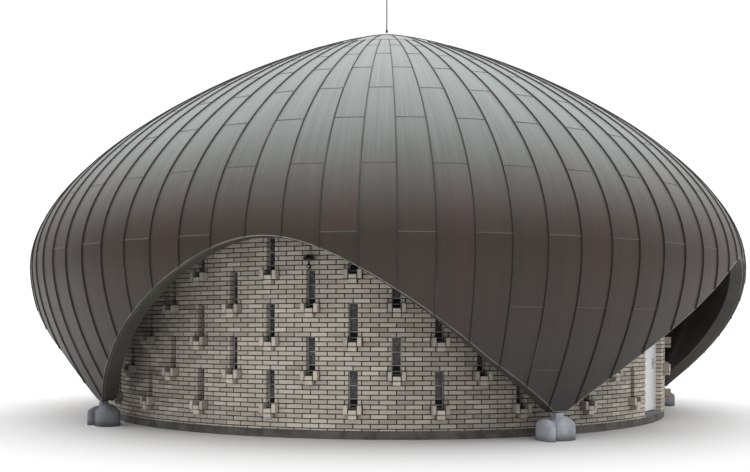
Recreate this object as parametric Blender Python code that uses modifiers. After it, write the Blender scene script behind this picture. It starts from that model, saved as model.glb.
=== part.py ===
"""Round mosque: a sheet-covered dome on five legs over a round brick wall with slot windows.

Metres, +Z up, origin on the ground below the dome's apex, entrance bay towards -Y.
Angles called phi are degrees from -Y towards +X, so a point is (r sin phi, -r cos phi).
"""

import math

import bmesh
import bpy
from mathutils import Matrix, Vector

# Clearances between touching pieces
GAP = 0.0003
HALF_GAP = GAP / 2
SEAT = 0.0005

# Ground and floor levels
BASE_TOP = 0.12
FLOOR_TOP = 0.165

# Five-fold layout
BAYS = 5
BAY_ANGLE = 360.0 / BAYS
PANELS = 85
FACETS = 55
FACET_ANGLE = 360.0 / FACETS

# Dome shell: outer profile as two cubic Bezier curves of (radius, height)
SHELL_THICKNESS = 0.25
UPPER_PROFILE = ((0.0, 7.417), (2.958, 6.453), (6.574, 4.387), (6.574, 2.583))
LOWER_PROFILE = ((6.574, 2.583), (6.574, 1.683), (6.0, 0.80), (5.78, 0.39))
OUTER_UPPER_ROWS = 10
OUTER_LOWER_ROWS = 5
INNER_UPPER_STEPS = (0.15, 0.32, 0.48, 0.58, 0.67, 0.82, 1.0)
INNER_LOWER_STEPS = (0.35, 0.7)
PROFILE_SAMPLES = 100
TIP_BOTTOM = 0.39
SPLIT_HEIGHT = 3.10
CROWN_RADIUS = 0.25
CROWN_SIDES = 34
CROWN_FLAT = 0.04
SPIRE_RADIUS = 0.0125
SPIRE_COLLAR_RADIUS = 0.028
SPIRE_COLLAR_HEIGHT = 0.06
SPIRE_COLLAR_SLOPE = 0.02
SPIRE_TOP = 8.72
SPIRE_SIDES = 12

# Arches between the legs
ARCH_TOP = 2.68
ARCH_FOOT = 0.41
ARCH_HALF_ANGLE = 34.9
ARCH_STEPS = 14
ARCH_ROUNDINGS = (0.2, 0.2, 0.2, 0.2, 0.3)
# Lean of each arch in degrees: left foot, left side above, right foot, right side above
ARCH_LEANS = (
    (0.0, -0.6, 0.0, -0.6),
    (0.0, 0.0, 0.0, 0.0),
    (0.0, 0.0, 0.0, 0.0),
    (0.0, 0.0, -3.7, 0.8),
    (-3.7, -2.7, 0.0, -2.1),
)
LEG_SHIFTS = (0.0, 0.0, 0.0, -3.7, 0.0)
LEAN_FROM = 0.39
LEAN_FULL = 1.12
CUT_INNER_RADIUS = 4.8
CUT_OUTER_RADIUS = 7.5
CUT_BOTTOM = -0.5
CUT_TOP = 9.0
WEDGE_REACH = 9.0

# Footings under the legs
FOOTING_RADIUS = 5.70
FOOTING_WIDTH = 0.54
FOOTING_DEPTH = 0.44
FOOTING_BLOCK = 0.23
FOOTING_SHOULDER = 0.31
FOOTING_CROWN = 0.20
NECK_WIDTH = 0.135
NECK_SLOPE = 0.02
GROOVE_OFFSET = -0.09
GROOVE_SIZE = 0.06

# Round brick wall: 55 flat facets, each 0.600 m wide outside
FACET_WIDTH = 0.600
WALL_APOTHEM = FACET_WIDTH / 2 / math.tan(math.radians(FACET_ANGLE / 2))
WALL_THICKNESS = 0.24
WALL_BOTTOM = BASE_TOP + GAP
WALL_TOP = 4.20
COURSE = 0.2 / 3
SLOT_WIDTH = 0.132
SLOT_COURSES = 8
SLOT_PITCH_COURSES = 14
EVEN_SLOT_START = 0.30 + BASE_TOP
ODD_SLOT_START = 0.30 + BASE_TOP + 7 * COURSE
EVEN_SLOT_ROWS = 3
ODD_SLOT_ROWS = 2
GLASS_THICKNESS = 0.012
GLASS_BOTTOM = 0.36
GLASS_TOP = 2.90
GLASS_DOOR_CLEARANCE = 0.04
# Side bays in segments: facets from the bay's middle to the joints between them
SIDE_JOINTS = {1: (1.5, 2.5, 3.5), 4: (-3.5, -1.5)}
SIDE_NAMES = {1: ("left", "middle_left", "middle_right", "right"), 4: ("left", "middle", "right")}
PIER_JOINT = 1.5

# Ring beam that closes the wall against the shell
RING_INNER = 5.012
RING_OUTER = 5.245

# Base, floor
BASE_SETBACK = 0.010

# Doorway in the entrance bay
DOOR_PHI = -2.15
DOORWAY_HALF = 0.503
DOORWAY_TOP = 2.22
FRAME_FACE = 0.05
FRAME_DEPTH = 0.0655
LEAF_THICKNESS = 0.045
LEAF_TOP = 2.1635
LEAF_BOTTOM = 0.175
HINGE_SIDE_GAP = 0.006
LOCK_SIDE_GAP = 0.008
HINGE_DISTANCE = 5.0565
HINGE_RADIUS = 0.009
HINGE_OFFSET = 0.0095
HINGE_LENGTH = 0.10
HINGE_HEIGHTS = (0.42, 1.90)
HINGE_PLATE_WIDTH = 0.038
HINGE_PLATE_START = 0.002
HINGE_PLATE_THICKNESS = 0.0032
HINGE_PLATE_MARGIN = 0.005
HANDLE_HEIGHT = 0.98
HANDLE_BACKSET = 0.065
HANDLE_PLATE_HALF = 0.02
HANDLE_PLATE_BELOW = 0.11
HANDLE_PLATE_ABOVE = 0.07
HANDLE_PLATE_THICKNESS = 0.008
LEVER_LENGTH = 0.12
LEVER_REACH = 0.045
LEVER_RADIUS = 0.009
THRESHOLD_FRONT_TOP = 0.132
THRESHOLD_INNER = 5.0150
THRESHOLD_BREAK = 5.10
THRESHOLD_OUTER = 5.226

# Wall lamp above a window column
LAMP_PHI = -72.0
LAMP_STANDOFF = 0.092
LAMP_RADIUS = 0.082
LAMP_TOP = 2.550
LAMP_RIM = 2.468
LAMP_CURVE = ((0.55, 0.012), (0.9, 0.04))
LAMP_UNDERSIDE_RISE = 0.012
LAMP_SIDES = 16
LAMP_PLATE_WIDTH = 0.06
LAMP_PLATE_LOW = 2.475
LAMP_PLATE_TOP = 2.540
STEM_RADIUS = 0.014
BALL_RADIUS = 0.035
BALL_HEIGHT = 2.385
BALL_ANGLES = (55, 25, -5, -35, -65)
BALL_JOIN = 0.94
CONDUIT_RADIUS = 0.008
CONDUIT_TOP = 2.63

parts = None
cutters = None


def setup():
    """Empties the scene and makes the two collections."""
    global parts, cutters
    for existing in list(bpy.data.objects):
        bpy.data.objects.remove(existing)
    parts = bpy.data.collections.new("mosque")
    cutters = bpy.data.collections.new("cutters")
    bpy.context.scene.collection.children.link(parts)
    bpy.context.scene.collection.children.link(cutters)


def make_material(name, colour, roughness, metallic=0.0):
    """A Principled material with one colour."""
    material = bpy.data.materials.new(name)
    material.use_nodes = True
    shader = material.node_tree.nodes["Principled BSDF"]
    shader.inputs["Base Color"].default_value = (*colour, 1.0)
    shader.inputs["Roughness"].default_value = roughness
    shader.inputs["Metallic"].default_value = metallic
    material.diffuse_color = (*colour, 1.0)
    return material


def polar(radius, phi, z=0.0):
    """The point at a radius and an angle phi in degrees."""
    angle = math.radians(phi)
    return Vector((radius * math.sin(angle), -radius * math.cos(angle), z))


def tangent(phi):
    """Unit vector along the wall, towards growing phi."""
    angle = math.radians(phi)
    return Vector((math.cos(angle), math.sin(angle), 0.0))


def bezier(points, t):
    """A point of a cubic Bezier curve in (radius, height)."""
    s = 1.0 - t
    weights = (s ** 3, 3 * s * s * t, 3 * s * t * t, t ** 3)
    return tuple(sum(w * p[i] for w, p in zip(weights, points)) for i in range(2))


def bezier_inward(points, t):
    """The point one shell thickness inside a cubic Bezier curve."""
    step = 0.0001
    before = bezier(points, t - step)
    after = bezier(points, t + step)
    dr, dz = after[0] - before[0], after[1] - before[1]
    length = math.hypot(dr, dz)
    r, z = bezier(points, t)
    return r + dz / length * SHELL_THICKNESS, z - dr / length * SHELL_THICKNESS


def at_radius(polyline, radius):
    """Height where a polyline of (radius, height) crosses a radius."""
    for (r0, z0), (r1, z1) in zip(polyline, polyline[1:]):
        if min(r0, r1) <= radius <= max(r0, r1):
            return z0 + (z1 - z0) * (radius - r0) / (r1 - r0)
    raise ValueError(radius)


def fine_profile(curve):
    """Closely spaced points of the upper curve or of its inward offset."""
    return [curve(UPPER_PROFILE, i / PROFILE_SAMPLES) for i in range(PROFILE_SAMPLES + 1)]


def outer_profile():
    """Outer side of the shell from the crown's edge down to a leg's tip."""
    fine = fine_profile(bezier)
    rows = [(CROWN_RADIUS, at_radius(fine, CROWN_RADIUS))]
    rows += [bezier(UPPER_PROFILE, i / OUTER_UPPER_ROWS) for i in range(1, OUTER_UPPER_ROWS + 1)]
    rows += [bezier(LOWER_PROFILE, i / OUTER_LOWER_ROWS) for i in range(1, OUTER_LOWER_ROWS + 1)]
    return rows


def inner_profile():
    """Underside of the shell from the crown's edge down to a leg's tip."""
    fine = fine_profile(bezier_inward)
    rows = [(CROWN_RADIUS, at_radius(fine, CROWN_RADIUS))]
    rows += [bezier_inward(UPPER_PROFILE, t) for t in INNER_UPPER_STEPS]
    rows += [bezier_inward(LOWER_PROFILE, t) for t in INNER_LOWER_STEPS]
    r0, z0 = rows[-1]
    r1, z1 = bezier_inward(LOWER_PROFILE, 1.0)
    rows.append((r0 + (r1 - r0) * (TIP_BOTTOM - z0) / (z1 - z0), TIP_BOTTOM))
    return rows


def add_object(name, mesh, material, hidden=False):
    """Links an object to the parts, or to the cutters when hidden."""
    item = bpy.data.objects.new(name, mesh)
    if material is not None:
        mesh.materials.clear()
        mesh.materials.append(material)
    if hidden:
        cutters.objects.link(item)
        item.hide_render = True
        item.display_type = "WIRE"
    else:
        parts.objects.link(item)
    return item


def profile_mesh(name, points, closed):
    """A mesh of edges through (radius, height) points in the plane of phi = 0."""
    mesh = bpy.data.meshes.new(name)
    vertices = [(0.0, -r, z) for r, z in points]
    edges = [(i, i + 1) for i in range(len(points) - 1)]
    if closed:
        edges.append((len(points) - 1, 0))
    mesh.from_pydata(vertices, edges, [])
    return mesh


def add_screw(item, steps):
    """Turns a profile once around +Z."""
    screw = item.modifiers.new("turn", "SCREW")
    screw.axis = "Z"
    screw.angle = math.tau
    screw.steps = steps
    screw.render_steps = steps
    screw.use_merge_vertices = True
    screw.merge_threshold = 0.0001
    screw.use_smooth_shade = False
    return screw


def add_boolean(item, other, operation):
    """Cuts, joins or intersects with another object."""
    boolean = item.modifiers.new(other.name, "BOOLEAN")
    boolean.operation = operation
    boolean.solver = "EXACT"
    boolean.object = other
    return boolean


def curve_to_mesh(name, curve_object):
    """A welded mesh with a curve object's evaluated shape, in world space."""
    parts.objects.link(curve_object)
    graph = bpy.context.evaluated_depsgraph_get()
    graph.update()
    mesh = bpy.data.meshes.new_from_object(curve_object.evaluated_get(graph))
    mesh.name = name
    shape = bmesh.new()
    shape.from_mesh(mesh)
    bmesh.ops.remove_doubles(shape, verts=shape.verts, dist=0.00005)
    shape.to_mesh(mesh)
    shape.free()
    mesh.transform(curve_object.matrix_world)
    bpy.data.objects.remove(curve_object)
    return mesh


def outline_mesh(name, points, low, high):
    """A prism over a flat outline in XY, between two heights."""
    curve = bpy.data.curves.new(name, "CURVE")
    curve.dimensions = "2D"
    curve.fill_mode = "BOTH"
    curve.extrude = (high - low) / 2
    spline = curve.splines.new("POLY")
    spline.points.add(len(points) - 1)
    for point, place in zip(spline.points, points):
        point.co = (place[0], place[1], 0.0, 1.0)
    spline.use_cyclic_u = True
    item = bpy.data.objects.new(name, curve)
    item.location = (0.0, 0.0, (low + high) / 2)
    item.matrix_world = Matrix.Translation(item.location)
    return curve_to_mesh(name, item)


def tube_mesh(name, points, radius, resolution=2):
    """A round bar through points."""
    curve = bpy.data.curves.new(name, "CURVE")
    curve.dimensions = "3D"
    curve.bevel_depth = radius
    curve.bevel_resolution = resolution
    curve.use_fill_caps = True
    spline = curve.splines.new("POLY")
    spline.points.add(len(points) - 1)
    for point, place in zip(spline.points, points):
        point.co = (*place, 1.0)
    return curve_to_mesh(name, bpy.data.objects.new(name, curve))


def box_mesh(name, low, high):
    """A box between two corners."""
    shape = bmesh.new()
    size = [h - l for l, h in zip(low, high)]
    middle = [(h + l) / 2 for l, h in zip(low, high)]
    matrix = Matrix.Translation(middle) @ Matrix.Diagonal((*size, 1.0))
    bmesh.ops.create_cube(shape, size=1.0, matrix=matrix)
    mesh = bpy.data.meshes.new(name)
    shape.to_mesh(mesh)
    shape.free()
    return mesh


def clip(points, normal, limit):
    """The part of a flat outline on the low side of a line."""
    kept = []
    for here, there in zip(points, points[1:] + points[:1]):
        a = here.dot(normal) - limit
        b = there.dot(normal) - limit
        if a <= 0:
            kept.append(here)
        if (a < 0 < b) or (b < 0 < a):
            kept.append(here.lerp(there, a / (a - b)))
    return kept


def ring_outline(middle, outer, inner):
    """Facets of a bay, from an outer to an inner apothem, cut along its end planes."""
    half = math.radians(FACET_ANGLE / 2)
    per_bay = FACETS // BAYS
    count = per_bay // 2 + 2
    angles = [middle + FACET_ANGLE * (i + 0.5) for i in range(-count, count)]
    points = [polar(outer / math.cos(half), a) for a in angles]
    points += [polar(inner / math.cos(half), a) for a in reversed(angles)]
    points = clip(points, tangent(middle + BAY_ANGLE / 2), -HALF_GAP)
    return clip(points, -tangent(middle - BAY_ANGLE / 2), -HALF_GAP)


def regular_outline(apothem):
    """The 55-sided outline at an apothem, corners between the window columns."""
    radius = apothem / math.cos(math.radians(FACET_ANGLE / 2))
    return [polar(radius, FACET_ANGLE * (i + 0.5)) for i in range(FACETS)]


def slot_rows(column):
    """Bottom heights of the window slots in a column."""
    if column % 2 == 0:
        start, rows = EVEN_SLOT_START, EVEN_SLOT_ROWS
    else:
        start, rows = ODD_SLOT_START, ODD_SLOT_ROWS
    return [start + row * SLOT_PITCH_COURSES * COURSE for row in range(rows)]


def slot_cutter(name, columns):
    """Boxes through the wall for every slot window of some columns."""
    shape = bmesh.new()
    height = SLOT_COURSES * COURSE
    depth = WALL_THICKNESS * 3
    for column in columns:
        phi = column * FACET_ANGLE
        for bottom in slot_rows(column):
            middle = polar(WALL_APOTHEM - WALL_THICKNESS / 2, phi, bottom + height / 2)
            turn = Matrix.Rotation(math.radians(phi), 4, "Z")
            size = Matrix.Diagonal((SLOT_WIDTH, depth, height, 1.0))
            bmesh.ops.create_cube(shape, size=1.0, matrix=Matrix.Translation(middle) @ turn @ size)
    mesh = bpy.data.meshes.new(name)
    shape.to_mesh(mesh)
    shape.free()
    return add_object(name, mesh, None, hidden=True)


def arch_edge(bay, side):
    """Angle and height of an arch's edge at a fraction from -1 to 1 of its half width."""
    k = ARCH_ROUNDINGS[bay]
    fall = (math.sqrt(side * side + k * k) - k) / (math.sqrt(1 + k * k) - k)
    height = ARCH_TOP - (ARCH_TOP - ARCH_FOOT) * fall
    share = min(max((height - LEAN_FROM) / (LEAN_FULL - LEAN_FROM), 0.0), 1.0)
    left_foot, left_above, right_foot, right_above = ARCH_LEANS[bay]
    foot = left_foot if side < 0 else right_foot
    above = left_above + (right_above - left_above) * (side + 1) / 2
    return ARCH_HALF_ANGLE * side + foot + (above - foot) * share, height


def arch_cutter(bay):
    """A radial wedge below an arch's edge, lofted from section to section."""
    shape = bmesh.new()
    sections = []
    for i in range(-ARCH_STEPS, ARCH_STEPS + 1):
        angle, height = arch_edge(bay, i / ARCH_STEPS)
        phi = BAY_ANGLE * bay + angle
        corners = (
            polar(CUT_INNER_RADIUS, phi, CUT_BOTTOM),
            polar(CUT_OUTER_RADIUS, phi, CUT_BOTTOM),
            polar(CUT_OUTER_RADIUS, phi, height),
            polar(CUT_INNER_RADIUS, phi, height),
        )
        sections.append([shape.verts.new(corner) for corner in corners])
    shape.faces.new(sections[0])
    shape.faces.new(list(reversed(sections[-1])))
    for near, far in zip(sections, sections[1:]):
        for i in range(4):
            j = (i + 1) % 4
            shape.faces.new((near[j], near[i], far[i], far[j]))
    bmesh.ops.triangulate(shape, faces=shape.faces)
    bmesh.ops.recalc_face_normals(shape, faces=shape.faces)
    mesh = bpy.data.meshes.new("arch_cutter")
    shape.to_mesh(mesh)
    shape.free()
    return add_object(f"arch_cutter_{bay + 1}", mesh, None, hidden=True)


def wedge_cutter(name, middle, low, high):
    """The space of one 72 degree sector between two heights."""
    half = BAY_ANGLE / 2
    apex = polar(HALF_GAP / math.sin(math.radians(half)), middle)
    points = [apex, apex + polar(WEDGE_REACH, middle - half), apex + polar(WEDGE_REACH, middle + half)]
    return add_object(name, outline_mesh(name, points, low, high), None, hidden=True)


def build_shell(material):
    """Five leg sectors and five upper sectors of the dome."""
    profile = outer_profile() + list(reversed(inner_profile()))
    arches = [arch_cutter(bay) for bay in range(BAYS)]
    for k in range(BAYS):
        middle = BAY_ANGLE * (k + 0.5)
        leg = add_object(f"shell_leg_{k + 1}", profile_mesh("shell", profile, True), material)
        add_screw(leg, PANELS)
        add_boolean(leg, wedge_cutter(f"leg_wedge_{k + 1}", middle, CUT_BOTTOM, SPLIT_HEIGHT - HALF_GAP),
                    "INTERSECT")
        add_boolean(leg, arches[k], "DIFFERENCE")
        add_boolean(leg, arches[(k + 1) % BAYS], "DIFFERENCE")
        top = add_object(f"shell_top_{k + 1}", profile_mesh("shell", profile, True), material)
        add_screw(top, PANELS)
        add_boolean(top, wedge_cutter(f"top_wedge_{k + 1}", middle, SPLIT_HEIGHT + HALF_GAP, CUT_TOP),
                    "INTERSECT")


def build_crown(material, bright):
    """The plug at the apex and the thin spire on it."""
    fine = fine_profile(bezier)
    edge = CROWN_RADIUS - SEAT
    flat = at_radius(fine, CROWN_FLAT)
    under = inner_profile()[0][1]
    points = [
        (0.0, flat),
        (CROWN_FLAT, flat),
        (edge, at_radius(fine, edge)),
        (edge, under),
        (0.0, under),
    ]
    crown = add_object("crown", profile_mesh("crown", points, False), material)
    add_screw(crown, CROWN_SIDES)
    foot = flat + GAP
    spire_points = [
        (0.0, SPIRE_TOP),
        (SPIRE_RADIUS, SPIRE_TOP - SPIRE_RADIUS),
        (SPIRE_RADIUS, foot + SPIRE_COLLAR_HEIGHT + SPIRE_COLLAR_SLOPE),
        (SPIRE_COLLAR_RADIUS, foot + SPIRE_COLLAR_HEIGHT),
        (SPIRE_COLLAR_RADIUS, foot),
        (0.0, foot),
    ]
    spire = add_object("spire", profile_mesh("spire", spire_points, False), bright)
    add_screw(spire, SPIRE_SIDES)


def build_ring_beam(material):
    """A ring on top of the wall whose top follows the shell's underside."""
    under = inner_profile()
    points = [
        (RING_INNER, at_radius(under, RING_INNER) - SEAT),
        (RING_OUTER, at_radius(under, RING_OUTER) - SEAT),
        (RING_OUTER, WALL_TOP + GAP),
        (RING_INNER, WALL_TOP + GAP),
    ]
    ring = add_object("ring_beam", profile_mesh("ring_beam", points, True), material)
    add_screw(ring, PANELS)


def footing_mesh():
    """A grooved block with sloping shoulders and a square neck, centred at the origin."""
    shape = bmesh.new()
    size = Matrix.Diagonal((FOOTING_WIDTH, FOOTING_DEPTH, FOOTING_BLOCK, 1.0))
    bmesh.ops.create_cube(shape, size=1.0, matrix=Matrix.Translation((0, 0, FOOTING_BLOCK / 2)) @ size)
    neck_top = TIP_BOTTOM - GAP
    stages = (
        (FOOTING_CROWN, FOOTING_CROWN, FOOTING_SHOULDER),
        (NECK_WIDTH, NECK_WIDTH, FOOTING_SHOULDER + NECK_SLOPE),
        (NECK_WIDTH, NECK_WIDTH, neck_top),
    )
    face = max(shape.faces, key=lambda f: f.calc_center_median().z)
    for width, depth, height in stages:
        face = bmesh.ops.extrude_discrete_faces(shape, faces=[face])["faces"][0]
        for vertex in face.verts:
            vertex.co = Vector((math.copysign(width / 2, vertex.co.x),
                                math.copysign(depth / 2, vertex.co.y), height))
    mesh = bpy.data.meshes.new("footing")
    shape.to_mesh(mesh)
    shape.free()
    return mesh


def build_footings(material):
    """One footing under each leg, cut by a groove on its outer side."""
    mesh = footing_mesh()
    groove = box_mesh("groove", (-GROOVE_SIZE / 2, -GROOVE_SIZE / 2, -GROOVE_SIZE),
                      (GROOVE_SIZE / 2, GROOVE_SIZE / 2, FOOTING_SHOULDER + NECK_SLOPE))
    for k in range(BAYS):
        phi = BAY_ANGLE * (k + 0.5) + LEG_SHIFTS[k]
        footing = add_object(f"footing_{k + 1}", mesh, material)
        footing.location = polar(FOOTING_RADIUS, phi)
        footing.rotation_euler = (0, 0, math.radians(phi))
        cutter = add_object(f"groove_{k + 1}", groove, None, hidden=True)
        cutter.location = polar(FOOTING_RADIUS + FOOTING_DEPTH / 2, phi) + tangent(phi) * GROOVE_OFFSET
        cutter.rotation_euler = (0, 0, math.radians(phi + 45))
        add_boolean(footing, cutter, "DIFFERENCE")


def segment(outline, middle, low, high):
    """The part of a bay's outline between two joints, in facets from the bay's middle."""
    if low is not None:
        outline = clip(outline, -tangent(middle + low * FACET_ANGLE), -HALF_GAP)
    if high is not None:
        outline = clip(outline, tangent(middle + high * FACET_ANGLE), -HALF_GAP)
    return outline


def split_side(bay, middle, outline, columns):
    """The wall segments of a side bay, with the window columns of each."""
    centre = columns[len(columns) // 2]
    joints = (None, *SIDE_JOINTS[bay], None)
    pieces = []
    for name, low, high in zip(SIDE_NAMES[bay], joints, joints[1:]):
        inside = [c for c in columns if (low is None or c > centre + low) and (high is None or c < centre + high)]
        pieces.append((f"wall_{bay + 1}_{name}", segment(outline, middle, low, high), WALL_BOTTOM, inside))
    return pieces


def build_wall(brick, glass):
    """The round wall by bays, split at the doorway, with glass behind its slots."""
    inner = WALL_APOTHEM - WALL_THICKNESS
    pane_outer = inner - GAP
    pane_inner = pane_outer - GLASS_THICKNESS
    along = tangent(DOOR_PHI)
    per_bay = FACETS // BAYS
    half_bay = per_bay // 2
    for k in range(BAYS):
        middle = BAY_ANGLE * k
        outline = ring_outline(middle, WALL_APOTHEM, inner)
        pane = ring_outline(middle, pane_outer, pane_inner)
        first = per_bay * (k if k <= BAYS // 2 else k - BAYS) - half_bay
        columns = list(range(first, first + per_bay))
        if k == 0:
            left = clip(outline, along, -DOORWAY_HALF)
            right = clip(outline, -along, -DOORWAY_HALF)
            head = clip(clip(outline, along, DOORWAY_HALF - GAP), -along, DOORWAY_HALF - GAP)
            pieces = (
                ("wall_1_left", left, WALL_BOTTOM, [c for c in columns if c < -1]),
                ("wall_1_pier", segment(right, middle, None, PIER_JOINT), WALL_BOTTOM, [1]),
                ("wall_1_right", segment(right, middle, PIER_JOINT, None), WALL_BOTTOM, [c for c in columns if c > 1]),
                ("wall_1_head", head, DOORWAY_TOP, []),
            )
            clear = DOORWAY_HALF + GLASS_DOOR_CLEARANCE
            panes = (
                ("glass_1_left", clip(pane, along, -clear)),
                ("glass_1_right", clip(pane, -along, -clear)),
            )
        elif k in SIDE_JOINTS:
            pieces = split_side(k, middle, outline, columns)
            panes = ((f"glass_{k + 1}", pane),)
        else:
            pieces = ((f"wall_{k + 1}", outline, WALL_BOTTOM, columns),)
            panes = ((f"glass_{k + 1}", pane),)
        for name, points, low, slots in pieces:
            wall = add_object(name, outline_mesh(name, points, low, WALL_TOP), brick)
            if slots:
                add_boolean(wall, slot_cutter(f"slots_{name}", slots), "DIFFERENCE")
        for name, points in panes:
            add_object(name, outline_mesh(name, points, GLASS_BOTTOM, GLASS_TOP), glass)


def build_base(concrete, floor):
    """The base slab under the wall and the floor inside it."""
    base = regular_outline(WALL_APOTHEM - BASE_SETBACK)
    add_object("base_slab", outline_mesh("base_slab", base, 0.0, BASE_TOP), concrete)
    inside = regular_outline(WALL_APOTHEM - WALL_THICKNESS - SEAT)
    add_object("floor", outline_mesh("floor", inside, BASE_TOP + GAP, FLOOR_TOP), floor)


def door_matrix(distance):
    """Frame with X along the doorway, Y inwards, at a distance from the centre."""
    return Matrix.Translation(polar(distance, DOOR_PHI)) @ Matrix.Rotation(math.radians(DOOR_PHI), 4, "Z")


def side_outline_mesh(name, points, low, high):
    """A prism whose outline lies in XZ and which runs along Y."""
    mesh = outline_mesh(name, points, -(high - low) / 2, (high - low) / 2)
    turn = Matrix.Translation((0, (low + high) / 2, 0)) @ Matrix.Rotation(math.pi / 2, 4, "X")
    mesh.transform(turn)
    return mesh


def build_door(white, steel, concrete):
    """Threshold, frame, hinges, leaf and handles of the entrance."""
    side = DOORWAY_HALF - SEAT
    profile = [
        Vector((-THRESHOLD_OUTER, BASE_TOP + GAP)),
        Vector((-THRESHOLD_INNER, BASE_TOP + GAP)),
        Vector((-THRESHOLD_INNER, FLOOR_TOP)),
        Vector((-THRESHOLD_BREAK, FLOOR_TOP)),
        Vector((-THRESHOLD_OUTER, THRESHOLD_FRONT_TOP)),
    ]
    mesh = side_outline_mesh("threshold", profile, -side, side)
    mesh.transform(Matrix.Rotation(math.pi / 2, 4, "Z"))
    turn = Matrix.Rotation(math.radians(DOOR_PHI), 4, "Z")
    threshold = add_object("threshold", mesh, concrete)
    threshold.matrix_world = turn

    hinge_x = -side + FRAME_FACE + HINGE_SIDE_GAP
    foot = FLOOR_TOP + GAP
    top = DOORWAY_TOP - SEAT
    u_shape = [
        Vector((-side, foot)),
        Vector((-side + FRAME_FACE, foot)),
        Vector((-side + FRAME_FACE, top - FRAME_FACE)),
        Vector((side - FRAME_FACE, top - FRAME_FACE)),
        Vector((side - FRAME_FACE, foot)),
        Vector((side, foot)),
        Vector((side, top)),
        Vector((-side, top)),
    ]
    back = -HINGE_OFFSET
    frame_mesh = side_outline_mesh("door_frame", u_shape, back - FRAME_DEPTH, back)
    frame = add_object("door_frame", frame_mesh, white)
    frame.matrix_world = door_matrix(HINGE_DISTANCE)

    axis = door_matrix(HINGE_DISTANCE) @ Matrix.Translation((hinge_x, 0, 0))
    width = 2 * side - 2 * FRAME_FACE - HINGE_SIDE_GAP - LOCK_SIDE_GAP
    leaf_box = box_mesh("door_leaf", (0, back - LEAF_THICKNESS, LEAF_BOTTOM), (width, back, LEAF_TOP))
    leaf = add_object("door_leaf", leaf_box, white)
    leaf.matrix_world = axis

    for index, height in enumerate(HINGE_HEIGHTS):
        shape = bmesh.new()
        place = Matrix.Translation((0, 0, height))
        bmesh.ops.create_cone(shape, cap_ends=True, segments=12, radius1=HINGE_RADIUS,
                              radius2=HINGE_RADIUS, depth=HINGE_LENGTH, matrix=place)
        mesh = bpy.data.meshes.new("hinge")
        shape.to_mesh(mesh)
        shape.free()
        hinge = add_object(f"door_hinge_{index + 1}", mesh, steel)
        hinge.matrix_world = axis
        half = HINGE_LENGTH / 2 - HINGE_PLATE_MARGIN
        plate = box_mesh("hinge_plate",
                         (-HINGE_PLATE_START - HINGE_PLATE_WIDTH, back + GAP, height - half),
                         (-HINGE_PLATE_START, back + GAP + HINGE_PLATE_THICKNESS, height + half))
        plate = add_object(f"hinge_plate_{index + 1}", plate, None, hidden=True)
        plate.matrix_world = axis
        add_boolean(hinge, plate, "UNION")

    x = width - HANDLE_BACKSET
    for name, face, out in (("door_handle_out", back - LEAF_THICKNESS, -1.0), ("door_handle_in", back, 1.0)):
        near = face + out * GAP
        edges = sorted((near, near + out * HANDLE_PLATE_THICKNESS))
        plate = box_mesh(name, (x - HANDLE_PLATE_HALF, edges[0], HANDLE_HEIGHT - HANDLE_PLATE_BELOW),
                         (x + HANDLE_PLATE_HALF, edges[1], HANDLE_HEIGHT + HANDLE_PLATE_ABOVE))
        handle = add_object(name, plate, steel)
        handle.matrix_world = axis
        reach = near + out * LEVER_REACH
        bar = tube_mesh("lever", [(x, near + out * HANDLE_PLATE_THICKNESS / 2, HANDLE_HEIGHT),
                                  (x, reach, HANDLE_HEIGHT),
                                  (x - LEVER_LENGTH, reach, HANDLE_HEIGHT)], LEVER_RADIUS)
        lever = add_object(f"{name}_lever", bar, None, hidden=True)
        lever.matrix_world = axis
        add_boolean(handle, lever, "UNION")


def build_lamp(dark, grey):
    """The wall lamp with its round sensor below and the conduit above."""
    centre = polar(WALL_APOTHEM + LAMP_STANDOFF, LAMP_PHI)
    points = [(0.0, LAMP_TOP)]
    points += [(LAMP_RADIUS * share, LAMP_TOP - drop) for share, drop in LAMP_CURVE]
    points += [
        (LAMP_RADIUS, LAMP_RIM),
        (STEM_RADIUS, LAMP_RIM - LAMP_UNDERSIDE_RISE),
        (STEM_RADIUS, BALL_HEIGHT + BALL_RADIUS * BALL_JOIN),
    ]
    for degrees in BALL_ANGLES:
        angle = math.radians(degrees)
        points.append((BALL_RADIUS * math.cos(angle), BALL_HEIGHT + BALL_RADIUS * math.sin(angle)))
    points.append((0.0, BALL_HEIGHT - BALL_RADIUS))
    lamp = add_object("lamp", profile_mesh("lamp", points, False), dark)
    add_screw(lamp, LAMP_SIDES)
    lamp.location = centre
    lamp.rotation_euler = (0, 0, math.radians(LAMP_PHI))
    half = LAMP_PLATE_WIDTH / 2
    plate = box_mesh("lamp_plate", (-half, -LAMP_STANDOFF / 2, LAMP_PLATE_LOW),
                     (half, LAMP_STANDOFF - GAP, LAMP_PLATE_TOP))
    plate = add_object("lamp_plate", plate, None, hidden=True)
    plate.location = centre
    plate.rotation_euler = (0, 0, math.radians(LAMP_PHI))
    add_boolean(lamp, plate, "UNION")
    distance = WALL_APOTHEM + CONDUIT_RADIUS + GAP
    foot = polar(distance, LAMP_PHI, LAMP_PLATE_TOP + GAP)
    head = polar(distance, LAMP_PHI, CONDUIT_TOP)
    add_object("lamp_conduit", tube_mesh("lamp_conduit", [foot, head], CONDUIT_RADIUS), grey)


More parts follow.
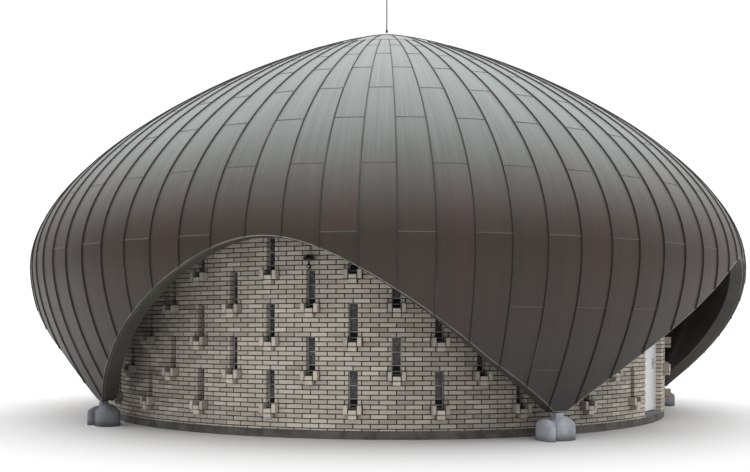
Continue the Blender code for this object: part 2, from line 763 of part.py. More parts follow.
def main():
    """Builds the whole building."""
    setup()
    sheet = make_material("weathered_sheet", (0.11, 0.095, 0.085), 0.55, 0.6)
    bright = make_material("bright_metal", (0.45, 0.45, 0.44), 0.4, 0.9)
    brick = make_material("pale_brick", (0.46, 0.42, 0.36), 0.85)
    concrete = make_material("concrete", (0.24, 0.25, 0.27), 0.9)
    dark_base = make_material("dark_base", (0.09, 0.09, 0.095), 0.9)
    plaster = make_material("plaster", (0.35, 0.34, 0.32), 0.9)
    glass = make_material("dark_glass", (0.03, 0.035, 0.03), 0.1)
    white = make_material("white_paint", (0.78, 0.79, 0.80), 0.4)
    steel = make_material("steel", (0.5, 0.5, 0.5), 0.35, 1.0)
    black = make_material("black_enamel", (0.02, 0.02, 0.02), 0.35)
    build_shell(sheet)
    build_crown(sheet, bright)
    build_ring_beam(plaster)
    build_footings(concrete)
    build_wall(brick, glass)
    build_base(dark_base, concrete)
    build_door(white, steel, concrete)
    build_lamp(black, bright)


main()
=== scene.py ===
"""Round mosque: a seamed sheet dome on five legs over a round brick wall with slot windows.

Metres, +Z up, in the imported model's frame: the entrance bay faces -Y, and an angle called phi
counts degrees from -Y towards +X, so a point is (r sin phi, -r cos phi).
"""

import bisect
import enum
import logging
import math
import random
from dataclasses import dataclass, field
from typing import Callable, Iterable, Sequence

import bmesh
import bpy
from mathutils import Matrix, Vector


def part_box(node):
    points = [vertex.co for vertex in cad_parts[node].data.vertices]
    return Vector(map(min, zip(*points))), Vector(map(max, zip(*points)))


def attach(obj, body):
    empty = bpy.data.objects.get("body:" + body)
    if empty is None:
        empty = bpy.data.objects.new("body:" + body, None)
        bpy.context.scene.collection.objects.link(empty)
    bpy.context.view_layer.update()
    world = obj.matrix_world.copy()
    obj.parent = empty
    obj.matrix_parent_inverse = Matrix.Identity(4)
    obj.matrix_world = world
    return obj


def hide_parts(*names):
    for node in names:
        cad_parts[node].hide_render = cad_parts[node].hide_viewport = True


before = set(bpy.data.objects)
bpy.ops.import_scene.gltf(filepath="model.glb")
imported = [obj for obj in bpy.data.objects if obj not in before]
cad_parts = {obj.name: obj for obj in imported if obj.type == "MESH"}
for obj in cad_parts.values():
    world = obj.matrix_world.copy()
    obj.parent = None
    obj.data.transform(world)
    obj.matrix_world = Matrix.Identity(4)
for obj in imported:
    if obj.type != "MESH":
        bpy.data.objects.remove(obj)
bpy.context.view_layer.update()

logging.basicConfig(level=logging.INFO, format="%(message)s")
log = logging.getLogger("mosque")

Colour = tuple[float, float, float]
Span = tuple[float, float]

BAYS = 5
BAY_ANGLE = 360.0 / BAYS
PANELS = 85
PANEL_ANGLE = 360.0 / PANELS
BASE_TOP = 0.12
FLOOR_TOP = 0.165
POLE_WELD = 0.00005
SKIN_WELD = 0.0001


class Body(enum.Enum):
    """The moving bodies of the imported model."""

    BUILDING = "building"
    DOOR = "door"


class Side(enum.IntEnum):
    """Left and right, seen from outside."""

    LEFT = -1
    RIGHT = 1


def polar(radius: float, phi: float, z: float = 0.0) -> Vector:
    """The point at a radius, an angle phi in degrees and a height."""
    angle = math.radians(phi)
    return Vector((radius * math.sin(angle), -radius * math.cos(angle), z))


def stand(radius: float, phi: float, z: float = 0.0) -> Matrix:
    """A frame at a polar point with X along the wall, Y inwards and Z up."""
    return Matrix.Translation(polar(radius, phi, z)) @ Matrix.Rotation(math.radians(phi), 4, "Z")


def blend_numbers(low: float, high: float, share: float) -> float:
    """The number a share of the way from low to high."""
    return low + (high - low) * share


# ---------------------------------------------------------------- shader maths


class Value:
    """A shader socket that Python's operators work on; each adds a Math node."""

    def __init__(self, tree: "Tree", socket: bpy.types.NodeSocket) -> None:
        """Wraps a socket.

        Args:
            tree: The node tree that the socket belongs to.
            socket: The output socket.
        """
        self.tree = tree
        self.socket = socket

    def _math(self, operation: str, first: "Feed", second: "Feed" = 0.0) -> "Value":
        """Adds one Math node and returns its result."""
        return self.tree.add("ShaderNodeMath", {"operation": operation}, {0: first, 1: second})

    def __add__(self, other: "Feed") -> "Value":
        """self + other."""
        return self._math("ADD", self, other)

    __radd__ = __add__

    def __mul__(self, other: "Feed") -> "Value":
        """self * other."""
        return self._math("MULTIPLY", self, other)

    __rmul__ = __mul__

    def __sub__(self, other: "Feed") -> "Value":
        """self - other."""
        return self._math("SUBTRACT", self, other)

    def __rsub__(self, other: "Feed") -> "Value":
        """other - self."""
        return self._math("SUBTRACT", other, self)

    def __abs__(self) -> "Value":
        """abs(self)."""
        return self._math("ABSOLUTE", self)

    def fraction(self) -> "Value":
        """The part of self after the whole number."""
        return self._math("FRACT", self)

    def ramp(self, low: float, high: float) -> "Value":
        """0 at low, 1 at high, smooth between and held outside.

        Args:
            low: Where the ramp starts.
            high: Where it ends, which may be below low.

        Returns:
            The smoothed share.
        """
        settings = {"interpolation_type": "SMOOTHSTEP"}
        if low < high:
            return self.tree.add("ShaderNodeMapRange", settings, {0: self, 1: low, 2: high, 3: 0.0, 4: 1.0})
        return self.tree.add("ShaderNodeMapRange", settings, {0: self, 1: high, 2: low, 3: 1.0, 4: 0.0})


Feed = Value | float | Sequence[float]


class Tree:
    """A node tree under construction."""

    def __init__(self, tree: bpy.types.NodeTree) -> None:
        """Works on a tree.

        Args:
            tree: The node tree of a material or of the surround.
        """
        self.nodes = tree.nodes
        self.links = tree.links

    def add(self, kind: str, settings: dict, sockets: dict, output: int | str = 0) -> Value:
        """Adds any node.

        Args:
            kind: The node's type.
            settings: The node's properties, which are set first.
            sockets: Values or links by input name or index.
            output: The output that is wanted.

        Returns:
            The wanted output.
        """
        node = self.nodes.new(kind)
        for key, value in settings.items():
            setattr(node, key, value)
        for key, value in sockets.items():
            self.feed(node.inputs[key], value)
        return Value(self, node.outputs[output])

    def feed(self, socket: bpy.types.NodeSocket, value: Feed) -> None:
        """Links or sets an input.

        Args:
            socket: The input.
            value: A link, a number or a colour.
        """
        if isinstance(value, Value):
            self.links.new(value.socket, socket)
        elif isinstance(value, (tuple, list)) and len(value) == 3 and socket.type == "RGBA":
            socket.default_value = (*value, 1.0)
        else:
            socket.default_value = value

    def part(self, vector: Value, axis: str) -> Value:
        """One number of a vector."""
        return self.add("ShaderNodeSeparateXYZ", {}, {0: vector}, axis)

    def join(self, x: Feed, y: Feed, z: Feed) -> Value:
        """A vector of three numbers."""
        return self.add("ShaderNodeCombineXYZ", {}, {0: x, 1: y, 2: z})

    def noise(self, vector: Value, scale: float, detail: float = 2.0, rough: float = 0.5) -> Value:
        """Noise about 0.5."""
        sockets = {"Vector": vector, "Scale": scale, "Detail": detail, "Roughness": rough}
        return self.add("ShaderNodeTexNoise", {}, sockets)

    def mix(self, a: Feed, b: Feed, share: Feed) -> Value:
        """Colour a, or b where share is 1."""
        sockets = {0: share, 6: a, 7: b}
        return self.add("ShaderNodeMix", {"data_type": "RGBA", "clamp_factor": True}, sockets, 2)

    def scale_colour(self, colour: Feed, amount: Value) -> Value:
        """A colour made lighter or darker by a number.

        Args:
            colour: The colour.
            amount: The number, 1 for no change.

        Returns:
            The new colour.
        """
        grey = self.join(amount, amount, amount)
        sockets = {0: 1.0, 6: colour, 7: grey}
        return self.add("ShaderNodeMix", {"data_type": "RGBA", "blend_type": "MULTIPLY"}, sockets, 2)


class Shader(Tree):
    """A Principled material under construction."""

    def __init__(self, name: str) -> None:
        """Starts a material with a Principled shader and an output.

        Args:
            name: The material's name.
        """
        self.material = bpy.data.materials.new(name)
        self.material.use_nodes = True
        super().__init__(self.material.node_tree)
        self.surface = self.nodes["Principled BSDF"]

    def set(self, **inputs: Feed) -> "Shader":
        """Feeds the Principled shader; underscores in the names stand for spaces.

        Args:
            **inputs: Values or links by input name.

        Returns:
            The shader itself.
        """
        for key, value in inputs.items():
            self.feed(self.surface.inputs[key.replace("_", " ")], value)
        return self

    def place(self) -> Value:
        """Object coordinates."""
        return self.add("ShaderNodeTexCoord", {}, {}, "Object")

    def uv(self) -> tuple[Value, Value]:
        """The two numbers of the piece's UV map."""
        both = self.add("ShaderNodeUVMap", {"uv_map": "UVMap"}, {})
        return self.part(both, "X"), self.part(both, "Y")

    def attribute(self, name: str) -> Value:
        """A number stored on the piece's faces."""
        return self.add("ShaderNodeAttribute", {"attribute_name": name}, {}, "Fac")

    def bump(self, height: Value, distance: float, strength: float = 1.0) -> "Shader":
        """Feeds a height through a Bump node to the normal.

        Args:
            height: The height.
            distance: How high 1 stands, in metres.
            strength: Share of the effect.

        Returns:
            The shader itself.
        """
        sockets = {"Height": height, "Distance": distance, "Strength": strength}
        normal = self.add("ShaderNodeBump", {}, sockets)
        return self.set(Normal=normal)


# ---------------------------------------------------------------- finishes


@dataclass(frozen=True)
class RoofSheet:
    """Weathered brown roof sheet, streaked down the slope: paler towards the crown as chalky bloom and
    painted sky sheen, greyer low down as painted ground reflection, with painted shade beside the seams.
    """

    name: str = "roof_sheet"
    brown: Colour = (0.0300, 0.0185, 0.0135)
    olive: Colour = (0.0270, 0.0210, 0.0130)
    wine: Colour = (0.0380, 0.0178, 0.0145)
    # Dark colour beside the seams: painted shade of the standing seams.
    seam_shadow: Colour = (0.010, 0.008, 0.007)
    # Pale colour towards the crown: partly chalky bloom, partly painted sky sheen.
    chalk_and_sheen: Colour = (0.120, 0.142, 0.133)
    # Grey mixed in low on the dome: painted reflection of the ground.
    grey: Colour = (0.0375, 0.0350, 0.0335)
    chalk_and_sheen_heights: Span = (2.85, 4.6)
    ground_reflection_heights: Span = (2.2, 0.6)
    seam_shade: Span = (0.045, 0.010)
    gloss: float = 0.42
    relief: float = 0.008

    def make(self) -> bpy.types.Material:
        """Builds the material.

        Returns:
            The material.
        """
        s = Shader(self.name)
        across, down = s.uv()
        tone = s.attribute("tone")
        hue = s.attribute("hue")
        place = s.place()
        height = s.part(place, "Z")
        streaks = s.noise(s.join(across * 9.0, down * 0.30, hue * 9.0), 1.0, 3.0, 0.6)
        fine = s.noise(s.join(across * 42.0, down * 1.1, hue * 5.0), 1.0, 2.0, 0.6)
        clouds = s.noise(place, 0.55, 3.0, 0.55)
        colour = s.mix(self.brown, self.wine, hue.ramp(0.6, 1.0) * 0.4 + streaks.ramp(0.54, 0.72) * 0.5)
        colour = s.mix(colour, self.olive, hue.ramp(0.4, 0.0) * 0.4 + streaks.ramp(0.46, 0.28) * 0.5)
        # Painted ground reflection: greyer low down.
        colour = s.mix(colour, self.grey, height.ramp(*self.ground_reflection_heights) * 0.8)
        patches = 0.88 + (clouds - 0.5) * 0.5 + (streaks - 0.5) * 0.5 + tone * 0.05
        # Paler towards the crown: chalky bloom with painted sky sheen.
        colour = s.mix(colour, self.chalk_and_sheen, height.ramp(*self.chalk_and_sheen_heights) * patches)
        lighter = 1.0 + tone * 0.06 + (streaks - 0.5) * 0.42 + (fine - 0.5) * 0.22 + (clouds - 0.5) * 0.3
        colour = s.scale_colour(colour, lighter)
        # Painted shade: darker on the sheet close to each seam.
        to_seam = 0.5 - abs(across.fraction() - 0.5)
        shade_beside_seam = to_seam.ramp(*self.seam_shade)
        colour = s.mix(colour, self.seam_shadow, shade_beside_seam * 0.45)
        rough = 0.42 + (clouds - 0.5) * 0.16 + (fine - 0.5) * 0.10 + tone * 0.015
        s.set(Base_Color=colour, Roughness=rough, Metallic=0.0, IOR=1.5, Specular_IOR_Level=self.gloss)
        s.bump(streaks * 0.4 + s.noise(place, 2.3, 2.0) * 0.7 + fine * 0.08, self.relief, 0.5)
        return s.material


@dataclass(frozen=True)
class SeamSheet:
    """The standing seams: coloured dark as painted shade of their sides, with worn, lighter runs."""

    name: str = "seam_sheet"
    # Dark seam colour: painted shade of the seams' sides.
    dark: Colour = (0.022, 0.018, 0.015)
    worn: Colour = (0.12, 0.11, 0.10)

    def make(self) -> bpy.types.Material:
        """Builds the material.

        Returns:
            The material.
        """
        s = Shader(self.name)
        place = s.place()
        runs = s.noise(place, 0.8, 2.0)
        speckle = s.noise(place, 30.0, 2.0)
        colour = s.mix(self.dark, self.worn, runs.ramp(0.60, 0.74) * 0.55 + (speckle - 0.5) * 0.10)
        s.set(Base_Color=colour, Roughness=0.55 + (speckle - 0.5) * 0.2)
        return s.material


@dataclass(frozen=True)
class Painted:
    """A painted, cast or oiled surface: one colour with clouds, speckle and a fine relief."""

    name: str
    colour: Colour
    second: Colour
    rough: float = 0.6
    clouds: float = 1.5
    speckle: float = 60.0
    relief: float = 0.001
    metal: float = 0.0

    def make(self) -> bpy.types.Material:
        """Builds the material.

        Returns:
            The material.
        """
        s = Shader(self.name)
        place = s.place()
        wide = s.noise(place, self.clouds, 4.0, 0.6)
        fine = s.noise(place, self.speckle, 2.0, 0.6)
        colour = s.mix(self.colour, self.second, wide.ramp(0.38, 0.68) * 0.8 + (fine - 0.5) * 0.5)
        colour = s.scale_colour(colour, 1.0 + s.attribute("tone") * 0.12)
        rough = self.rough + (wide - 0.5) * 0.2 + (fine - 0.5) * 0.1
        s.set(Base_Color=colour, Roughness=rough, Metallic=self.metal)
        s.bump(fine + wide * 0.5, self.relief, 0.8)
        return s.material


@dataclass(frozen=True)
class Brick:
    """Pale sand-lime brick: every brick with its own tone, a grainy face and a little soot."""

    name: str = "brick_face"
    pale: Colour = (0.60, 0.553, 0.480)
    warm: Colour = (0.52, 0.455, 0.375)
    rose: Colour = (0.52, 0.460, 0.425)
    soot: Colour = (0.20, 0.18, 0.16)
    relief: float = 0.0016

    def make(self) -> bpy.types.Material:
        """Builds the material.

        Returns:
            The material.
        """
        s = Shader(self.name)
        tone = s.attribute("tone")
        hue = s.attribute("hue")
        place = s.place()
        grain = s.noise(place, 120.0, 2.0, 0.7)
        blotch = s.noise(place, 9.0, 3.0, 0.6)
        wide = s.noise(place, 0.9, 3.0, 0.5)
        colour = s.mix(self.pale, self.warm, hue.ramp(0.5, 1.0) * 0.7 + (blotch - 0.5) * 0.6)
        colour = s.mix(colour, self.rose, hue.ramp(0.4, 0.0) * 0.8)
        colour = s.mix(colour, self.soot, wide.ramp(0.52, 0.8) * 0.28 + blotch.ramp(0.58, 0.8) * 0.25)
        # Tone holds each brick's random tone and the painted shade behind the legs and under the dome.
        colour = s.scale_colour(colour, 1.0 + tone * 0.18 + (grain - 0.5) * 0.30)
        s.set(Base_Color=colour, Roughness=0.88 + (grain - 0.5) * 0.1, Specular_IOR_Level=0.3)
        s.bump(grain * 0.6 + blotch, self.relief, 0.9)
        return s.material


@dataclass(frozen=True)
class Concrete:
    """Bluish cast concrete, each block with its own tone, stained towards the ground."""

    name: str = "footing_concrete"
    cast: Colour = (0.205, 0.210, 0.240)
    blotched: Colour = (0.125, 0.128, 0.142)
    stain: Colour = (0.060, 0.058, 0.050)
    stain_heights: Span = (0.10, 0.0)
    relief: float = 0.003

    def make(self) -> bpy.types.Material:
        """Builds the material.

        Returns:
            The material.
        """
        s = Shader(self.name)
        tone = s.attribute("tone")
        place = s.place()
        wide = s.noise(place, 4.0, 4.0, 0.6)
        fine = s.noise(place, 70.0, 2.0, 0.6)
        foot = s.part(place, "Z").ramp(*self.stain_heights)
        colour = s.mix(self.cast, self.blotched, wide.ramp(0.40, 0.68) * 0.8 + (fine - 0.5) * 0.4)
        colour = s.mix(colour, self.stain, foot * (0.30 + wide * 0.5))
        # Tone lightens or darkens each block; on the footings it includes painted light.
        colour = s.scale_colour(colour, 1.0 + tone * 0.5 + (fine - 0.5) * 0.2)
        s.set(Base_Color=colour, Roughness=0.85 + (fine - 0.5) * 0.1)
        s.bump(fine + wide, self.relief, 0.8)
        return s.material


@dataclass(frozen=True)
class PatternGlass:
    """Dark figured glass with a pressed ripple."""

    name: str = "pattern_glass"
    dark: Colour = (0.040, 0.038, 0.036)
    light: Colour = (0.20, 0.195, 0.18)
    relief: float = 0.004

    def make(self) -> bpy.types.Material:
        """Builds the material.

        Returns:
            The material.
        """
        s = Shader(self.name)
        place = s.place()
        ripple = s.noise(place, 38.0, 2.0, 0.6)
        patch = s.noise(place, 11.0, 2.0, 0.6)
        colour = s.mix(self.dark, self.light, ripple.ramp(0.45, 0.7) * 0.6 + patch.ramp(0.5, 0.75) * 0.5)
        s.set(Base_Color=colour, Roughness=0.12 + ripple * 0.25, IOR=1.5)
        s.bump(ripple, self.relief, 0.8)
        return s.material


class Finishes:
    """Every finish of the building, made once."""

    def __init__(self) -> None:
        """Builds the materials."""
        self.sheet = RoofSheet().make()
        self.seam = SeamSheet().make()
        self.brick = Brick().make()
        self.glass = PatternGlass().make()
        self.concrete = Concrete().make()
        # The welts' dark line and light lip are shaded and lit copies of the sheet: painted shadow and
        # painted highlight.
        self.welt_dark = Painted("welt_shadow", (0.020, 0.017, 0.014), (0.035, 0.030, 0.026)).make()
        self.welt_highlight = Painted("welt_lip", (0.085, 0.080, 0.075), (0.045, 0.040, 0.037), 0.5, 2.0).make()
        self.flashing = Painted("edge_flashing", (0.22, 0.21, 0.185), (0.085, 0.080, 0.068),
                                0.45, 2.5, 40.0, 0.0006).make()
        self.reveal = Painted("arch_lining", (0.046, 0.042, 0.033), (0.030, 0.027, 0.023), clouds=1.2).make()
        self.soffit = Painted("soffit_board", (0.040, 0.034, 0.028), (0.025, 0.021, 0.018), 0.7, 2.0).make()
        self.bright = Painted("bright_metal", (0.50, 0.50, 0.49), (0.38, 0.38, 0.37),
                              0.35, 6.0, 90.0, 0.0003, 0.85).make()
        self.spire = Painted("spire_rod", (0.05, 0.05, 0.052), (0.03, 0.03, 0.032),
                             0.45, 4.0, relief=0.0003, metal=0.3).make()
        self.mortar = Painted("mortar", (0.024, 0.018, 0.014), (0.044, 0.034, 0.026),
                              0.95, 1.1, 70.0, 0.003).make()
        self.window_metal = Painted("window_frame", (0.42, 0.42, 0.42), (0.26, 0.26, 0.255),
                                    0.45, 5.0, relief=0.0003, metal=0.2).make()
        # Near-black vent slats; on the lowest pane this finish is painted shade of the dark inside.
        self.vent = Painted("vent_slats", (0.006, 0.006, 0.006), (0.012, 0.012, 0.011), 0.7, 5.0).make()
        self.dark_render = Painted("base_render", (0.125, 0.118, 0.105), (0.050, 0.047, 0.042),
                                   0.9, 3.5, 50.0, 0.003).make()
        self.plaster = Painted("plaster", (0.52, 0.50, 0.46), (0.44, 0.42, 0.39), 0.9, 1.0, 50.0).make()
        self.floor = Painted("floor_screed", (0.20, 0.19, 0.18), (0.15, 0.145, 0.135), 0.7, 1.5, 50.0).make()
        self.white = Painted("white_paint", (0.80, 0.81, 0.82), (0.72, 0.73, 0.74),
                             0.4, 2.5, 50.0, 0.0004).make()
        self.steel = Painted("brushed_steel", (0.52, 0.52, 0.52), (0.42, 0.42, 0.42),
                             0.3, 8.0, 120.0, 0.0002, 1.0).make()
        self.enamel = Painted("black_enamel", (0.014, 0.014, 0.015), (0.022, 0.022, 0.022),
                              0.3, 6.0, relief=0.0003).make()
        self.stage = Painted("stage_floor", (0.66, 0.66, 0.66), (0.65, 0.65, 0.65),
                             0.9, 0.4, 3.0, 0.0001).make()


# ---------------------------------------------------------------- making pieces


def bevel_edges(
    shape: bmesh.types.BMesh,
    edges: Sequence[bmesh.types.BMEdge],
    width: float,
    segments: int,
) -> dict:
    """Takes edges off.

    Args:
        shape: The shape.
        edges: Its edges.
        width: Width of the bevel.
        segments: Faces across it.

    Returns:
        What the operator made.
    """
    return bmesh.ops.bevel(shape, geom=edges, offset=width, offset_type="OFFSET", segments=segments,
                           profile=0.5, affect="EDGES", material=-1, clamp_overlap=True)


class Workpiece:
    """One piece of the scene while it is being made."""

    def __init__(self, name: str, materials: Sequence[bpy.types.Material]) -> None:
        """Starts an empty piece.

        Args:
            name: The piece's name.
            materials: Its finishes; a face's finish is an index into them.
        """
        self.name = name
        self.materials = list(materials)
        self.shape = bmesh.new()
        self.shape.loops.layers.uv.new("UVMap")
        self.shape.faces.layers.float.new("tone")
        self.shape.faces.layers.float.new("hue")
        self.uv = self.shape.loops.layers.uv["UVMap"]
        self.tone = self.shape.faces.layers.float["tone"]
        self.hue = self.shape.faces.layers.float["hue"]

    def mark(
        self,
        faces: Iterable[bmesh.types.BMFace],
        tone: float = 0.0,
        hue: float = 0.5,
        finish: int = 0,
        smooth: bool = False,
    ) -> None:
        """Gives faces their tone, hue, finish and shading.

        Args:
            faces: The faces.
            tone: How light they are, about 0.
            hue: Their hue, from 0 to 1.
            finish: Index of their finish.
            smooth: Whether they are shaded smooth.
        """
        for face in faces:
            face[self.tone] = tone
            face[self.hue] = hue
            face.material_index = finish
            face.smooth = smooth

    def bend(
        self,
        columns: int,
        rows: int,
        place: Callable[[int, int], tuple[Vector, Span]],
        tone: float = 0.0,
        hue: float = 0.5,
        finish: int = 0,
        smooth: bool = True,
    ) -> list[bmesh.types.BMFace]:
        """Lays a flat blank and bends it into place.

        Args:
            columns: Cells across.
            rows: Cells down.
            place: Gives the point and the UV of a column and row.
            tone: The faces' tone.
            hue: The faces' hue.
            finish: The faces' finish.
            smooth: Whether the faces are shaded smooth.

        Returns:
            The new faces.
        """
        made = bmesh.ops.create_grid(self.shape, x_segments=columns, y_segments=rows, size=1.0)["verts"]
        texture: dict[bmesh.types.BMVert, Span] = {}
        for vertex in made:
            column = round((vertex.co.x + 1.0) / 2.0 * columns)
            row = round((vertex.co.y + 1.0) / 2.0 * rows)
            vertex.co, texture[vertex] = place(column, row)
        faces = list({face for vertex in made for face in vertex.link_faces})
        for face in faces:
            for loop in face.loops:
                loop[self.uv].uv = texture[loop.vert]
        self.mark(faces, tone, hue, finish, smooth)
        return faces

    def block(
        self,
        low: Sequence[float],
        high: Sequence[float],
        matrix: Matrix,
        edge: float = 0.0,
        tone: float = 0.0,
        hue: float = 0.5,
        finish: int = 0,
    ) -> list[bmesh.types.BMVert]:
        """A box between two corners of a frame, with its edges taken off.

        Args:
            low: The lowest corner.
            high: The highest corner.
            matrix: The frame.
            edge: Width of the bevel.
            tone: The faces' tone.
            hue: The faces' hue.
            finish: The faces' finish.

        Returns:
            The box's vertices.
        """
        size = [b - a for a, b in zip(low, high)]
        middle = [(a + b) / 2 for a, b in zip(low, high)]
        shift = matrix @ Matrix.Translation(middle) @ Matrix.Diagonal((*size, 1.0))
        verts = bmesh.ops.create_cube(self.shape, size=1.0, matrix=shift)["verts"]
        faces = {face for vertex in verts for face in vertex.link_faces}
        if edge:
            edges = list({e for vertex in verts for e in vertex.link_edges})
            cut = bevel_edges(self.shape, edges, edge, 2)
            faces = {face for vertex in cut["verts"] for face in vertex.link_faces}
            verts = list({vertex for face in faces for vertex in face.verts})
        self.mark(faces, tone, hue, finish)
        return verts

    def turn(
        self,
        profile: Sequence[Span],
        steps: int,
        matrix: Matrix,
        finish: int = 0,
        smooth: bool = True,
    ) -> list[bmesh.types.BMVert]:
        """A turned shape about a frame's Z axis.

        Args:
            profile: (radius, height) points from top to bottom.
            steps: Sides of the turned shape.
            matrix: The frame.
            finish: The faces' finish.
            smooth: Whether the faces are shaded smooth.

        Returns:
            The new vertices.
        """
        before = set(self.shape.verts)
        line = [self.shape.verts.new((radius, 0.0, height)) for radius, height in profile]
        edges = [self.shape.edges.new(pair) for pair in zip(line, line[1:])]
        bmesh.ops.spin(self.shape, geom=line + edges, axis=(0, 0, 1), cent=(0, 0, 0), angle=math.tau,
                       steps=steps, use_merge=True)
        made = [vertex for vertex in self.shape.verts if vertex not in before]
        bmesh.ops.remove_doubles(self.shape, verts=made, dist=POLE_WELD)
        made = [vertex for vertex in self.shape.verts if vertex not in before]
        faces = list({face for vertex in made for face in vertex.link_faces})
        bmesh.ops.recalc_face_normals(self.shape, faces=faces)
        bmesh.ops.transform(self.shape, matrix=matrix, verts=made)
        self.mark(faces, finish=finish, smooth=smooth)
        return made

    def turn_outwards(self, faces: Sequence[bmesh.types.BMFace], away: Callable[[Vector], Vector]) -> None:
        """Flips a skin whose first face looks the wrong way.

        Args:
            faces: The skin's faces, which agree with one another.
            away: Gives the wanted direction at a point.
        """
        sample = max(faces, key=lambda face: face.calc_area())
        sample.normal_update()
        if sample.normal.dot(away(sample.calc_center_median())) < 0:
            bmesh.ops.reverse_faces(self.shape, faces=list(faces))

    def finish(
        self,
        body: Body,
        slot: str,
        nodes: Sequence[str] = (),
        weld: float = 0.0,
    ) -> bpy.types.Object:
        """Makes the object, seats it on its body and reports it.

        Args:
            body: The body that it rides on.
            slot: Not used.
            nodes: CAD nodes that it stands for.
            weld: Merge distance, or 0 for none.

        Returns:
            The finished object.
        """
        if weld:
            bmesh.ops.remove_doubles(self.shape, verts=self.shape.verts[:], dist=weld)
        mesh = bpy.data.meshes.new(self.name)
        self.shape.to_mesh(mesh)
        self.shape.free()
        for material in self.materials:
            mesh.materials.append(material)
        piece = bpy.data.objects.new(self.name, mesh)
        bpy.context.scene.collection.objects.link(piece)
        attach(piece, body.value)
        if nodes:
            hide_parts(*nodes)
        mesh.calc_loop_triangles()
        log.info("%s: %d triangles", self.name, len(mesh.loop_triangles))
        return piece


# ---------------------------------------------------------------- the roof


